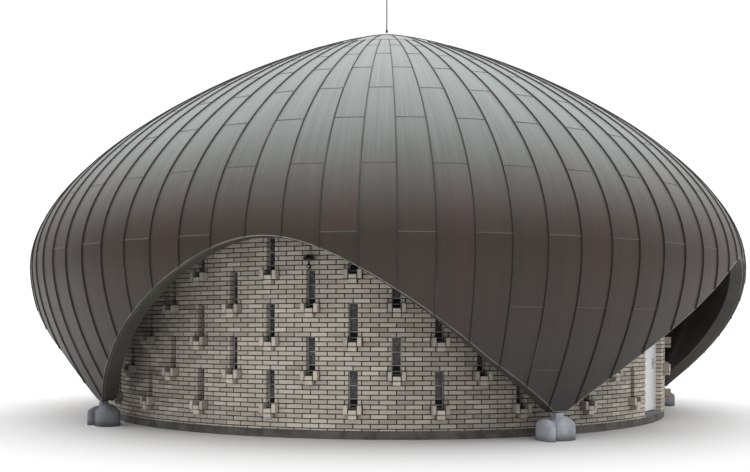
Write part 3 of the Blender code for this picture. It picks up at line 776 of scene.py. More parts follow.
@dataclass
class DomeShape:
    """The dome's outer outline, by length down the slope, and the arches' edges."""

    thickness: float = 0.25
    upper: tuple[Span, ...] = ((0.0, 7.417), (2.958, 6.453), (6.574, 4.387), (6.574, 2.583))
    lower: tuple[Span, ...] = ((6.574, 2.583), (6.574, 1.683), (6.0, 0.80), (5.78, 0.39))
    samples: int = 400
    tip: float = 0.39
    arch_top: float = 2.68
    arch_foot: float = 0.41
    arch_half_angle: float = 34.9
    arch_roundings: tuple[float, ...] = (0.2, 0.2, 0.2, 0.2, 0.3)
    arch_leans: tuple[tuple[float, ...], ...] = (
        (0.0, -0.6, 0.0, -0.6),
        (0.0, 0.0, 0.0, 0.0),
        (0.0, 0.0, 0.0, 0.0),
        (0.0, 0.0, -3.7, 0.8),
        (-3.7, -2.7, 0.0, -2.1),
    )
    lean_from: float = 0.39
    lean_full: float = 1.12
    lengths: list[float] = field(default_factory=list)
    points: list[Vector] = field(default_factory=list)
    edges: list[list[Span]] = field(default_factory=list)

    def __post_init__(self) -> None:
        """Samples the outline and the arches."""
        curves = (self.upper, self.lower)
        for curve in curves:
            for i in range(self.samples + 1):
                point = self._bezier(curve, i / self.samples)
                if self.points and (point - self.points[-1]).length < 1e-9:
                    continue
                step = (point - self.points[-1]).length if self.points else 0.0
                self.lengths.append((self.lengths[-1] if self.lengths else 0.0) + step)
                self.points.append(point)
        self.total = self.lengths[-1]
        for bay in range(BAYS):
            steps = range(-self.samples, self.samples + 1)
            self.edges.append([self._edge(bay, i / self.samples) for i in steps])

    @staticmethod
    def _bezier(curve: Sequence[Span], t: float) -> Vector:
        """A point of a cubic Bezier curve in (radius, height).

        Args:
            curve: Its four control points.
            t: Share of the way, from 0 to 1.

        Returns:
            The point.
        """
        s = 1.0 - t
        weights = (s ** 3, 3 * s * s * t, 3 * s * t * t, t ** 3)
        return Vector([sum(w * p[i] for w, p in zip(weights, curve)) for i in range(2)])

    def _edge(self, bay: int, side: float) -> Span:
        """Angle from the bay's middle and height of an arch's edge, side from -1 to 1.

        Args:
            bay: The bay.
            side: From -1 at the left foot to 1 at the right foot.

        Returns:
            The angle and the height.
        """
        k = self.arch_roundings[bay]
        fall = (math.sqrt(side * side + k * k) - k) / (math.sqrt(1 + k * k) - k)
        height = self.arch_top - (self.arch_top - self.arch_foot) * fall
        share = min(max((height - self.lean_from) / (self.lean_full - self.lean_from), 0.0), 1.0)
        left_foot, left_above, right_foot, right_above = self.arch_leans[bay]
        foot = left_foot if side < 0 else right_foot
        above = blend_numbers(left_above, right_above, (side + 1) / 2)
        return self.arch_half_angle * side + blend_numbers(foot, above, share), height

    def edge_height(self, phi: float) -> float:
        """Height of the dome's lower edge at an angle.

        Args:
            phi: The angle.

        Returns:
            The height, at least that of the legs' tips.
        """
        nearest = round(phi / BAY_ANGLE)
        bays = (nearest - 1, nearest, nearest + 1)
        found = [self._find(self.edges[bay % BAYS], phi - bay * BAY_ANGLE) for bay in bays]
        return max([self.tip, *[height for height in found if height is not None]])

    @staticmethod
    def _find(table: Sequence[Span], angle: float) -> float | None:
        """Height at an angle of an arch's table, or None beyond its ends.

        Args:
            table: (angle, height) along the arch.
            angle: The angle wanted.

        Returns:
            The height, or None.
        """
        if angle <= table[0][0] or angle >= table[-1][0]:
            return None
        at = bisect.bisect(table, (angle, -1.0))
        (a0, h0), (a1, h1) = table[at - 1], table[at]
        return blend_numbers(h0, h1, (angle - a0) / (a1 - a0) if a1 > a0 else 0.0)

    def length_at(self, height: float) -> float:
        """Length down the slope at a height.

        Args:
            height: The height.

        Returns:
            The length from the crown.
        """
        low, high = 0, len(self.points) - 1
        while high - low > 1:
            middle = (low + high) // 2
            if self.points[middle].y > height:
                low = middle
            else:
                high = middle
        a, b = self.points[low], self.points[high]
        share = (a.y - height) / (a.y - b.y)
        return blend_numbers(self.lengths[low], self.lengths[high], min(max(share, 0.0), 1.0))

    def edge_length(self, phi: float) -> float:
        """Length down the slope to the lower edge at an angle."""
        return self.length_at(self.edge_height(phi))

    def section(self, length: float, inset: float) -> Vector:
        """(radius, height) at a length down the slope, some way inside the outer face.

        Args:
            length: Length down the slope.
            inset: How far inside the outer face.

        Returns:
            The point in the section.
        """
        length = min(max(length, 0.0), self.total)
        at = min(max(bisect.bisect(self.lengths, length), 1), len(self.lengths) - 1)
        share = (length - self.lengths[at - 1]) / (self.lengths[at] - self.lengths[at - 1])
        point = self.points[at - 1].lerp(self.points[at], share)
        before = self.points[max(at - 2, 0)]
        after = self.points[min(at + 1, len(self.points) - 1)]
        run = (after - before).normalized()
        return Vector((point.x + run.y * inset, point.y - run.x * inset))

    def at(self, phi: float, length: float, inset: float = 0.0) -> Vector:
        """The point at an angle and a length down the slope, some way inside the outer face."""
        section = self.section(length, inset)
        return polar(max(section.x, 0.0), phi, section.y)

    def inner_radius(self, height: float) -> float:
        """Radius of the underside at a height below the shoulder.

        Args:
            height: The height.

        Returns:
            The radius.
        """
        low, high = 0.0, self.total
        for _ in range(40):
            middle = (low + high) / 2
            if self.section(middle, self.thickness).y > height:
                low = middle
            else:
                high = middle
        return self.section(low, self.thickness).x


@dataclass
class Roof:
    """The seamed sheets, their welts and seams, the trim of the arches and the underside."""

    dome: DomeShape
    finishes: Finishes
    seam_height: float = 0.018
    seam_half: float = 0.0042
    ring_length: float = 2.10
    cap_length: float = 0.12
    cells: int = 4
    row: float = 0.15
    odd_welts: tuple[float, ...] = (3.67, 5.47, 7.37, 9.30)
    even_welts: tuple[float, ...] = (2.87, 4.56, 6.40, 8.375, 10.19)
    welt_clear: float = 0.16
    # Each row: drop down the slope, lift off the sheet and finish; finish 0 is the painted shadow line,
    # finish 1 the lip's painted highlight.
    welt_fold: tuple[tuple[float, float, int], ...] = (
        (0.0, 0.0, 0), (0.006, 0.003, 0), (0.0065, 0.005, 1), (0.013, 0.0045, 1), (0.018, 0.0, 1))
    welt_start: float = 0.012
    flashing_rows: tuple[Span, ...] = ((0.010, 0.001), (0.008, 0.005), (0.001, 0.008))
    flashing_return: float = 0.045
    underside_rows: int = 36
    underside_bend: float = 0.8
    cap_rings: tuple[Span, ...] = ((0.018, 0.055), (0.024, 0.05), (0.030, 0.02), (0.05, 0.006))
    cap_hem: tuple[Span, ...] = ((0.0, 0.0), (0.004, 0.012), (-0.02, 0.02))
    spire_tip: tuple[Span, ...] = ((0.0, 0.0), (0.006, 0.003), (0.0105, 0.02))
    spire_foot: tuple[Span, ...] = ((0.0125, 0.12), (0.020, 0.10), (0.026, 0.07), (0.026, 0.02), (0.0, 0.015))
    seams: range = range(-42, 43)
    swells: Span = (-0.003, 0.004)
    lining_tones: Span = (-1.3, 1.3)
    seed: int = 11

    def __post_init__(self) -> None:
        """Starts the seeded choice of tones."""
        self.chance = random.Random(self.seed)

    @staticmethod
    def runs_on(seam: int) -> bool:
        """Whether a seam runs on above the upper ring to the crown."""
        return seam % 3 == 2 and Roof.seams.start < seam < Roof.seams.stop - 1

    def seam_phi(self, seam: float) -> float:
        """Angle of a seam."""
        return seam * PANEL_ANGLE

    def sheet(self, work: Workpiece, first: int, last: int, top: float, bottom: float) -> None:
        """One sheet between two seams and two welts.

        Args:
            work: The piece.
            first: The seam on its left.
            last: The seam on its right.
            top: Length down the slope where it starts.
            bottom: Length where it ends, unless the arch's edge comes first.
        """
        cells = self.cells * (last - first)
        rows = max(2, round((bottom - top) / self.row))
        swell = self.chance.uniform(*self.swells)
        ends = []
        for i in range(cells + 1):
            phi = self.seam_phi(first + i / self.cells)
            ends.append(max(min(bottom, self.dome.edge_length(phi)), top))

        def place(column: int, row: int) -> tuple[Vector, Span]:
            """The point of a column and row of the sheet.

            Args:
                column: Column of the blank.
                row: Row of the blank.

            Returns:
                The point and its UV.
            """
            across = first + column / self.cells
            length = blend_numbers(top, ends[column], row / rows)
            side = column / cells
            lift = swell * 4 * side * (1 - side) * math.sin(math.pi * row / rows)
            inset = self.seam_height - lift - 0.001 * math.sin(math.pi * side)
            return self.dome.at(self.seam_phi(across), length, inset), (first + side, length)

        tone = self.chance.uniform(-1.0, 1.0)
        hue = self.chance.random()
        work.bend(cells, rows, place, tone, hue)

    def welt(self, work: Workpiece, first: int, last: int, length: float) -> None:
        """The flat fold across a panel, with its painted shadow line above and a painted highlight on its
        lip.

        Args:
            work: The piece.
            first: The seam on its left.
            last: The seam on its right.
            length: Length down the slope where it lies.
        """
        cells = self.cells * (last - first)
        for (d0, h0, _), (d1, h1, finish) in zip(self.welt_fold, self.welt_fold[1:]):
            drops, lifts = (d0, d1), (h0, h1)

            def place(column: int, row: int) -> tuple[Vector, Span]:
                """The point of a column and row of the fold.

                Args:
                    column: Column of the blank.
                    row: Row of the blank.

                Returns:
                    The point and its UV.
                """
                across = first + column / self.cells
                drop, lift = drops[row], lifts[row]
                inset = self.seam_height - lift - 0.001
                spot = self.dome.at(self.seam_phi(across), length - self.welt_start + drop, inset)
                return spot, (across, length + drop)

            work.bend(cells, 1, place, finish=finish, smooth=False)

    def welts_of(self, panel: int) -> list[float]:
        """Lengths of the welts of the panel to the right of a seam.

        Args:
            panel: The seam's number.

        Returns:
            The lengths down the slope.
        """
        lengths = self.odd_welts if panel % 2 else self.even_welts
        steps = range(self.cells + 1)
        reach = min(self.dome.edge_length(self.seam_phi(panel + i / self.cells)) for i in steps)
        return [length for length in lengths if length < reach - self.welt_clear]

    def build_sheets(self) -> None:
        """Sheets and welts of the whole roof."""
        sheets = Workpiece("roof_sheets", [self.finishes.sheet])
        welts = Workpiece("roof_welts", [self.finishes.welt_dark, self.finishes.welt_highlight])
        for seam in self.seams:
            stops = [self.ring_length, *self.welts_of(seam), self.dome.total]
            for top, bottom in zip(stops, stops[1:]):
                self.sheet(sheets, seam, seam + 1, top, bottom)
            for length in stops[1:-1]:
                self.welt(welts, seam, seam + 1, length)
        upper = [seam for seam in self.seams if self.runs_on(seam)]
        for first, last in zip(upper, upper[1:] + [upper[0] + PANELS]):
            self.sheet(sheets, first, last, self.cap_length, self.ring_length)
            self.welt(welts, first, last, self.ring_length)
        bmesh.ops.dissolve_degenerate(sheets.shape, dist=0.0005, edges=sheets.shape.edges[:])
        bmesh.ops.recalc_face_normals(sheets.shape, faces=sheets.shape.faces[:])
        sheets.turn_outwards(sheets.shape.faces[:], lambda point: point)
        welts.turn_outwards(welts.shape.faces[:], lambda point: point)
        nodes = [f"shell_{part}_{k + 1}" for part in ("leg", "top") for k in range(BAYS)]
        sheets.finish(Body.BUILDING, "sheet", nodes)
        welts.finish(Body.BUILDING, "sheet")

    def build_seams(self) -> None:
        """The standing seams between the panels."""
        work = Workpiece("roof_seams", [self.finishes.seam])
        half = self.seam_half
        foot = half * 1.5
        corners = ((-foot, self.seam_height), (-half, 0.0), (half, 0.0), (foot, self.seam_height))
        for seam in self.seams:
            phi = self.seam_phi(seam)
            top = self.cap_length if self.runs_on(seam) else self.ring_length - 0.03
            bottom = self.dome.edge_length(phi)
            rows = max(4, round((bottom - top) / self.row))
            aside = Vector((math.cos(math.radians(phi)), math.sin(math.radians(phi)), 0.0))

            def place(column: int, row: int) -> tuple[Vector, Span]:
                """The point of a column and row of the seam.

                Args:
                    column: Column of the blank.
                    row: Row of the blank.

                Returns:
                    The point and its UV.
                """
                offset, inset = corners[column]
                length = blend_numbers(top, bottom, row / rows)
                narrow = min(1.0, (length + 0.15) / 0.6)
                spot = self.dome.at(phi, length, inset) + aside * offset * narrow
                return spot, (seam, length)

            work.bend(3, rows, place, smooth=False)
        ends = [edge for edge in work.shape.edges if edge.is_boundary]
        bmesh.ops.holes_fill(work.shape, edges=ends, sides=4)
        bmesh.ops.recalc_face_normals(work.shape, faces=work.shape.faces[:])
        work.turn_outwards(work.shape.faces[:], lambda point: point)
        work.finish(Body.BUILDING, "sheet")

    def build_trim(self) -> None:
        """The flashing along the arches, the lining behind it and the underside."""
        flashing = Workpiece("arch_flashing", [self.finishes.flashing])
        columns = PANELS * self.cells
        step = PANEL_ANGLE / self.cells
        heights = [self.dome.edge_height(column * step) for column in range(columns + 1)]
        lengths = [self.dome.length_at(height) for height in heights]

        def lip(column: int, row: int) -> tuple[Vector, Span]:
            """Flashing: up the sheet, round the edge and into the reveal.

            Args:
                column: Column of the blank.
                row: Row of the blank.

            Returns:
                The point and its UV.
            """
            phi = column * step
            if row < len(self.flashing_rows):
                back, lift = self.flashing_rows[row]
                spot = self.dome.at(phi, lengths[column] - back, self.seam_height - lift)
            else:
                edge = self.dome.section(lengths[column], self.seam_height + self.flashing_return)
                spot = polar(edge.x, phi, heights[column] - 0.0005)
            return spot, (phi, row * 0.02)

        flashing.bend(columns, len(self.flashing_rows), lip, smooth=False)
        flashing.turn_outwards(flashing.shape.faces[:], lambda point: point)
        flashing.finish(Body.BUILDING, "sheet", weld=SKIN_WELD)

        lining = Workpiece("arch_lining", [self.finishes.reveal])
        inner = [self.dome.inner_radius(height) for height in heights]

        def board(column: int, row: int) -> tuple[Vector, Span]:
            """Lining: from behind the flashing to the underside.

            Args:
                column: Column of the blank.
                row: Row of the blank.

            Returns:
                The point and its UV.
            """
            outer = self.dome.section(lengths[column], self.seam_height + 0.002).x
            radius = blend_numbers(outer, inner[column], row / 2)
            return polar(radius, column * step, heights[column]), (column * step, radius)

        for face in lining.bend(columns, 2, board, smooth=False):
            middle = face.calc_center_median()
            panel = math.floor(math.degrees(math.atan2(middle.x, -middle.y)) / PANEL_ANGLE)
            face[lining.tone] = random.Random(panel).uniform(*self.lining_tones)
        lining.turn_outwards(lining.shape.faces[:], lambda point: Vector((0, 0, -1)))
        lining.finish(Body.BUILDING, "sheet", weld=SKIN_WELD)

        soffit = Workpiece("dome_underside", [self.finishes.soffit])
        rows, bend = self.underside_rows, self.underside_bend

        def under(column: int, row: int) -> tuple[Vector, Span]:
            """Underside: from the crown down to the lining.

            Args:
                column: Column of the blank.
                row: Row of the blank.

            Returns:
                The point and its UV.
            """
            share = row / rows
            reach = lengths[column]
            section = self.dome.section(blend_numbers(0.02, reach, share), self.dome.thickness)
            radius, height = section.x, section.y
            last = self.dome.section(reach, self.dome.thickness)
            pull = max(0.0, (share - bend) / 0.2)
            height += (heights[column] - last.y) * pull
            radius += (inner[column] - last.x) * pull
            return polar(radius, column * step, height), (column * step, height)

        soffit.bend(columns, rows, under)
        soffit.turn_outwards(soffit.shape.faces[:], lambda point: -point)
        soffit.finish(Body.BUILDING, "sheet", weld=SKIN_WELD)

    def build_crown(self) -> None:
        """The round cap at the apex and the thin spire on it."""
        foot = self.dome.points[0].y - self.seam_height
        cap = Workpiece("crown_cap", [self.finishes.bright])
        edge = self.dome.section(self.cap_length + 0.03, self.seam_height - 0.006)
        rings = [(radius, foot + rise) for radius, rise in self.cap_rings]
        rings += [(edge.x + out, edge.y - drop) for out, drop in self.cap_hem]
        cap.turn(rings, 40, Matrix.Identity(4))
        cap.finish(Body.BUILDING, "bright_metal", ["crown"])
        spire = Workpiece("spire_rod", [self.finishes.spire])
        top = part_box("spire")[1].z
        rings = [(radius, top - drop) for radius, drop in self.spire_tip]
        rings += [(radius, foot + rise) for radius, rise in self.spire_foot]
        spire.turn(rings, 20, Matrix.Identity(4))
        spire.finish(Body.BUILDING, "bright_metal", ["spire"])

    def build(self) -> None:
        """The whole roof."""
        self.build_sheets()
        self.build_seams()
        self.build_trim()
        self.build_crown()


# ---------------------------------------------------------------- the brick wall


@dataclass
class Bond:
    """Where the courses, the upright joints and the window slots lie."""

    radius: float = 5.2515
    facet: float = 0.600
    course: float = 0.2 / 3
    first_course: float = BASE_TOP + 0.1 / 3
    height: float = 0.0535
    joint: float = 0.0132
    upright: float = 0.0155
    module: float = 0.24
    half_slot: float = 0.066
    slot_courses: int = 8
    pitch_courses: int = 14
    courses: int = 48
    bracket: Span = (0.068, 0.124)
    header_half: float = 0.054
    door: Span = (-0.7008, 0.3068)
    door_top: float = 2.2205
    columns: int = 55
    doorway_columns: tuple[int, ...] = (-1, 0)
    shortest: float = 0.022

    def phi(self, x: float) -> float:
        """Angle at a length x along the wall from the middle of the entrance bay."""
        return x / self.facet * 360.0 / self.columns

    def slot_starts(self, column: int) -> list[int]:
        """Lowest open course of each slot in a column of windows.

        Args:
            column: The column's number, 0 in the middle of the entrance bay.

        Returns:
            The courses.
        """
        if column in self.doorway_columns:
            return []
        start, rows = (4, 3) if column % 2 == 0 else (11, 2)
        return [start + row * self.pitch_courses for row in range(rows)]

    def level(self, course: int) -> float:
        """Height of the bottom of a course's bricks."""
        return self.first_course + course * self.course

    def closed(self, course: int, column: int) -> list[Span]:
        """Stretches of a course, from the column's middle, that plain bricks leave free.

        Args:
            course: The course's number.
            column: The column's number.

        Returns:
            The stretches.
        """
        gaps = []
        for start in self.slot_starts(column):
            beside = self.bracket[1] + self.joint
            if course == start or course == start - 1:
                gaps.append((-beside, beside))
            elif start < course < start + self.slot_courses:
                gaps.append((-self.half_slot, self.half_slot))
            elif course == start - 2:
                gaps.append((-self.header_half - self.joint, self.header_half + self.joint))
        return gaps

    def bricks(self, course: int, low: float, high: float) -> list[Span]:
        """Bricks of a course whose middles lie in a stretch of the wall.

        Args:
            course: The course's number.
            low: Where the stretch starts.
            high: Where it ends.

        Returns:
            The (start, end) of each brick.
        """
        half = self.module / 2
        shift = 0.0 if course % 2 == 0 else half
        gaps = []
        for column in range(round(low / self.facet) - 1, round(high / self.facet) + 2):
            middle = column * self.facet
            gaps += [(middle + a, middle + b) for a, b in self.closed(course, column)]
        if self.level(course) < self.door_top:
            gaps.append(self.door)
        gaps.sort()
        found = []
        index = math.floor((low - shift) / self.module) - 1
        while index * self.module + shift < high + self.module:
            start = index * self.module + shift + self.upright / 2
            found += self._without(start, start + self.module - self.upright, gaps)
            index += 1
        return [(a, b) for a, b in found if b - a > self.shortest and low <= (a + b) / 2 < high]

    @staticmethod
    def _without(start: float, end: float, gaps: Sequence[Span]) -> list[Span]:
        """A brick's stretch with the gaps cut out.

        Args:
            start: The brick's left end.
            end: Its right end.
            gaps: The gaps.

        Returns:
            What is left of it.
        """
        parts = [(start, end)]
        for low, high in gaps:
            cut = []
            for a, b in parts:
                if high <= a or low >= b:
                    cut.append((a, b))
                    continue
                if a < low:
                    cut.append((a, low))
                if b > high:
                    cut.append((high, b))
            parts = cut
        return parts


@dataclass
class BrickWall:
    """One bay of the round wall: mortar core, bricks, sills and brackets."""

    bond: Bond
    finishes: Finishes
    bay: int
    depth: float = 0.104
    recess: float = 0.011
    core: float = 0.2345
    top: float = 4.20
    sill: float = 0.108
    sill_step: float = 0.004
    bracket_height: float = 0.1214
    head_edge: float = 0.003
    tail: float = 0.10
    arris: float = 0.0035
    proud: float = 0.0012
    tilt: float = 0.35
    reveal_gap: float = 0.004
    legs: tuple[float, ...] = (36.0, 108.0, 180.0, 248.3, 324.0)
    # Painted shade on the bricks: darker behind each leg and close under the dome.
    shade_reach: float = 36.0
    shade_run: float = 29.0
    leg_shade_tone: float = 1.9
    eaves_shade_span: Span = (2.0, 3.4)
    eaves_shade_tone: float = 0.5
    # Darker sides of bricks that stand out: painted shade and dirt; darker undersides: painted shade.
    side_shade_and_dirt: float = 1.3
    under_shade: float = 2.2
    counts: list[tuple[int, float, float]] = field(default_factory=list)
    segments: dict[int, tuple[str, ...]] = field(default_factory=lambda: {
        0: ("_left", "_pier", "_right", "_head"),
        1: ("_left", "_middle_left", "_middle_right", "_right"),
        4: ("_left", "_middle", "_right"),
    })

    def __post_init__(self) -> None:
        """Finds the bay's stretch of wall."""
        self.chance = random.Random(100 + self.bay)
        turn = self.bay if self.bay <= BAYS // 2 else self.bay - BAYS
        share = self.bond.columns // BAYS
        self.low = (turn * share - share / 2) * self.bond.facet
        self.high = self.low + share * self.bond.facet
        self.columns = range(turn * share - share // 2, turn * share + share // 2 + 1)
        self.templates: dict[tuple[int, int], bpy.types.Mesh] = {}

    def template(self, length: float, height: float) -> bpy.types.Mesh:
        """A brick of a length with its front edges taken off and no back.

        Args:
            length: Its length.
            height: Its height.

        Returns:
            The brick's mesh, about its middle.
        """
        key = (round(length * 1000), round(height * 1000))
        if key not in self.templates:
            shape = bmesh.new()
            middle = Matrix.Translation((0, self.depth / 2, 0))
            size = Matrix.Diagonal((length, self.depth, height, 1.0))
            bmesh.ops.create_cube(shape, size=1.0, matrix=middle @ size)
            front = [edge for edge in shape.edges if all(v.co.y < self.depth / 2 for v in edge.verts)]
            back = [face for face in shape.faces if all(v.co.y > self.depth / 2 for v in face.verts)]
            bmesh.ops.delete(shape, geom=back, context="FACES_ONLY")
            bevel_edges(shape, front, self.arris, 1)
            mesh = bpy.data.meshes.new("brick_template")
            shape.to_mesh(mesh)
            shape.free()
            self.templates[key] = mesh
        return self.templates[key]

    def lay(self, work: Workpiece, start: float, end: float, bottom: float, height: float) -> None:
        """Lays one brick of a course.

        Args:
            work: The piece.
            start: Its left end along the wall.
            end: Its right end.
            bottom: Height of its bed.
            height: Its height.
        """
        mesh = self.template(end - start, height)
        phi = self.bond.phi((start + end) / 2)
        proud = self.chance.uniform(-self.proud, self.proud)
        place = stand(self.bond.radius + proud, phi, bottom + height / 2)
        tilt = Matrix.Rotation(math.radians(self.chance.uniform(-self.tilt, self.tilt)), 4, "Y")
        whole = place @ tilt
        mesh.transform(whole)
        work.shape.from_mesh(mesh)
        mesh.transform(whole.inverted())
        # Random tone, less painted shade behind the legs and under the dome.
        tone = self.chance.gauss(0.0, 0.55) - self.painted_shade(phi, bottom)
        self.counts.append((len(mesh.polygons), tone, self.chance.random()))

    def painted_shade(self, phi: float, height: float) -> float:
        """How much painted shade darkens the wall behind a leg and close under the dome.

        Args:
            phi: Angle of the spot.
            height: Height of the spot.

        Returns:
            The loss of tone, 0 where the wall is open to the light.
        """
        away = min(abs((phi - leg + 180.0) % 360.0 - 180.0) for leg in self.legs)
        behind = min(max((self.shade_reach - away) / self.shade_run, 0.0), 1.0)
        low, high = self.eaves_shade_span
        under = min(max((height - low) / (high - low), 0.0), 1.0)
        return self.leg_shade_tone * behind * behind * (3 - 2 * behind) + self.eaves_shade_tone * under

    def build_bricks(self) -> None:
        """The plain bricks of the bay."""
        work = Workpiece(f"bricks_{self.bay + 1}", [self.finishes.brick])
        bond = self.bond
        for start, end in bond.bricks(-1, self.low, self.high):
            low = BASE_TOP + 0.0005
            self.lay(work, start, end, low, bond.level(0) - bond.joint - low)
        for course in range(bond.courses):
            for start, end in bond.bricks(course, self.low, self.high):
                self.lay(work, start, end, bond.level(course), bond.height)
        work.shape.faces.ensure_lookup_table()
        index = 0
        for count, tone, hue in self.counts:
            work.mark(work.shape.faces[index:index + count], tone, hue)
            index += count
        parts = self.segments.get(self.bay, ("",))
        work.finish(Body.BUILDING, "brick", [f"wall_{self.bay + 1}{part}" for part in parts])

    def build_sills(self) -> None:
        """The brackets and sills that stand out below the slots."""
        work = Workpiece(f"sills_{self.bay + 1}", [self.finishes.brick])
        bond = self.bond
        for column in self.columns:
            for start in bond.slot_starts(column):
                phi = bond.phi(column * bond.facet)
                place = stand(bond.radius, phi)
                base = bond.level(start - 1)
                # Painted shade on sills and brackets behind the legs and under the dome.
                painted_shade = self.painted_shade(phi, base)
                for side in Side:
                    # Bracket ends lighter than plain bricks: painted light on faces that stand out into the
                    # light.
                    tone = self.chance.uniform(-0.2, 1.0) - painted_shade
                    ends = sorted((side * bond.bracket[0], side * bond.bracket[1]))
                    size = (*ends, self.sill - 0.002, base, base + self.bracket_height)
                    self.head(work, place, size, tone)
                for course in (start - 1, start - 2):
                    out = self.sill if course == start - 1 else self.sill - self.sill_step
                    # Sill ends lighter still: painted light on faces that stand out into the light.
                    tone = self.chance.uniform(0.6, 1.6) - painted_shade
                    low = bond.level(course)
                    size = (-bond.header_half, bond.header_half, out, low, low + bond.height)
                    self.head(work, place, size, tone)
        work.finish(Body.BUILDING, "brick")

    def head(self, work: Workpiece, place: Matrix, size: Sequence[float], tone: float) -> None:
        """A brick that stands out of the wall, painted darker on its sides as shade and dirt and on its
        underside as shade.

        Args:
            work: The piece.
            place: The frame on the wall's face.
            size: Left, right, how far it stands out, bottom and top.
            tone: How light its end is; its lift over plain bricks is painted light.
        """
        left, right, out, bottom, top = size
        low, high = (left, -out, bottom), (right, self.tail, top)
        verts = work.block(low, high, place, self.head_edge, tone, self.chance.random())
        outwards = -place.to_3x3().col[1]
        for face in {face for vertex in verts for face in vertex.link_faces}:
            face.normal_update()
            # Sides: painted shade and dirt; undersides: painted shade.
            if face.normal.dot(outwards) < 0.5 and face.normal.z < 0.5:
                face[work.tone] = tone - (self.under_shade if face.normal.z < -0.5 else self.side_shade_and_dirt)

    def lines(self) -> tuple[list[float], list[float]]:
        """Upright and level cut lines of the core.

        Returns:
            The places along the wall and the heights.
        """
        facet, half = self.bond.facet, self.bond.half_slot + self.reveal_gap
        xs = {self.low, self.high}
        zs = {BASE_TOP + 0.0004, self.top}
        for column in self.columns:
            middle = column * facet
            xs.update((middle - facet / 2, middle + facet / 2))
            if self.bond.slot_starts(column):
                xs.update((middle - half, middle + half))
            for start in self.bond.slot_starts(column):
                zs.update(self.slot_heights(start))
        if self.bay == 0:
            left, right = self.bond.door
            xs = {x for x in xs if not left - 0.01 < x < right + 0.01}
            xs.update((left - self.reveal_gap, right + self.reveal_gap))
            zs.add(self.bond.door_top)
        return sorted({round(x, 5) for x in xs}), sorted({round(z, 5) for z in zs})

    def slot_heights(self, start: int) -> Span:
        """Bottom and top of the slot that starts at a course."""
        return self.bond.level(start), self.bond.level(start + self.bond.slot_courses) - 0.002

    def open_at(self, x: float, z: float) -> bool:
        """Whether a point of the wall lies in a slot or in the doorway.

        Args:
            x: Place along the wall.
            z: Height.

        Returns:
            True where there is no wall.
        """
        if self.bay == 0 and self.bond.door[0] < x < self.bond.door[1] and z < self.bond.door_top:
            return True
        column = round(x / self.bond.facet)
        if abs(x - column * self.bond.facet) > self.bond.half_slot + self.reveal_gap:
            return False
        slots = [self.slot_heights(start) for start in self.bond.slot_starts(column)]
        return any(low < z < high for low, high in slots)

    def build_core(self) -> None:
        """The mortar behind the bricks, plastered inside, with the slots cut through."""
        work = Workpiece(f"mortar_{self.bay + 1}", [self.finishes.mortar, self.finishes.plaster])
        xs, zs = self.lines()
        radius = self.bond.radius - self.recess

        def place(column: int, row: int) -> tuple[Vector, Span]:
            """The point of a cut line."""
            return polar(radius, self.bond.phi(xs[column]), zs[row]), (xs[column], zs[row])

        faces = work.bend(len(xs) - 1, len(zs) - 1, place, smooth=False)
        holes = []
        for face in faces:
            loops = [loop[work.uv].uv for loop in face.loops]
            x = sum(uv.x for uv in loops) / len(loops)
            z = sum(uv.y for uv in loops) / len(loops)
            if self.open_at(x, z):
                holes.append(face)
        bmesh.ops.delete(work.shape, geom=holes, context="FACES")
        work.turn_outwards(work.shape.faces[:], lambda point: Vector((point.x, point.y, 0.0)))
        piece = work.finish(Body.BUILDING, "brick")
        wall = piece.modifiers.new("wall", "SOLIDIFY")
        wall.thickness = self.core
        wall.offset = -1.0
        wall.use_even_offset = False
        wall.material_offset = 1

    def build(self) -> None:
        """The whole bay."""
        self.build_core()
        self.build_bricks()
        self.build_sills()


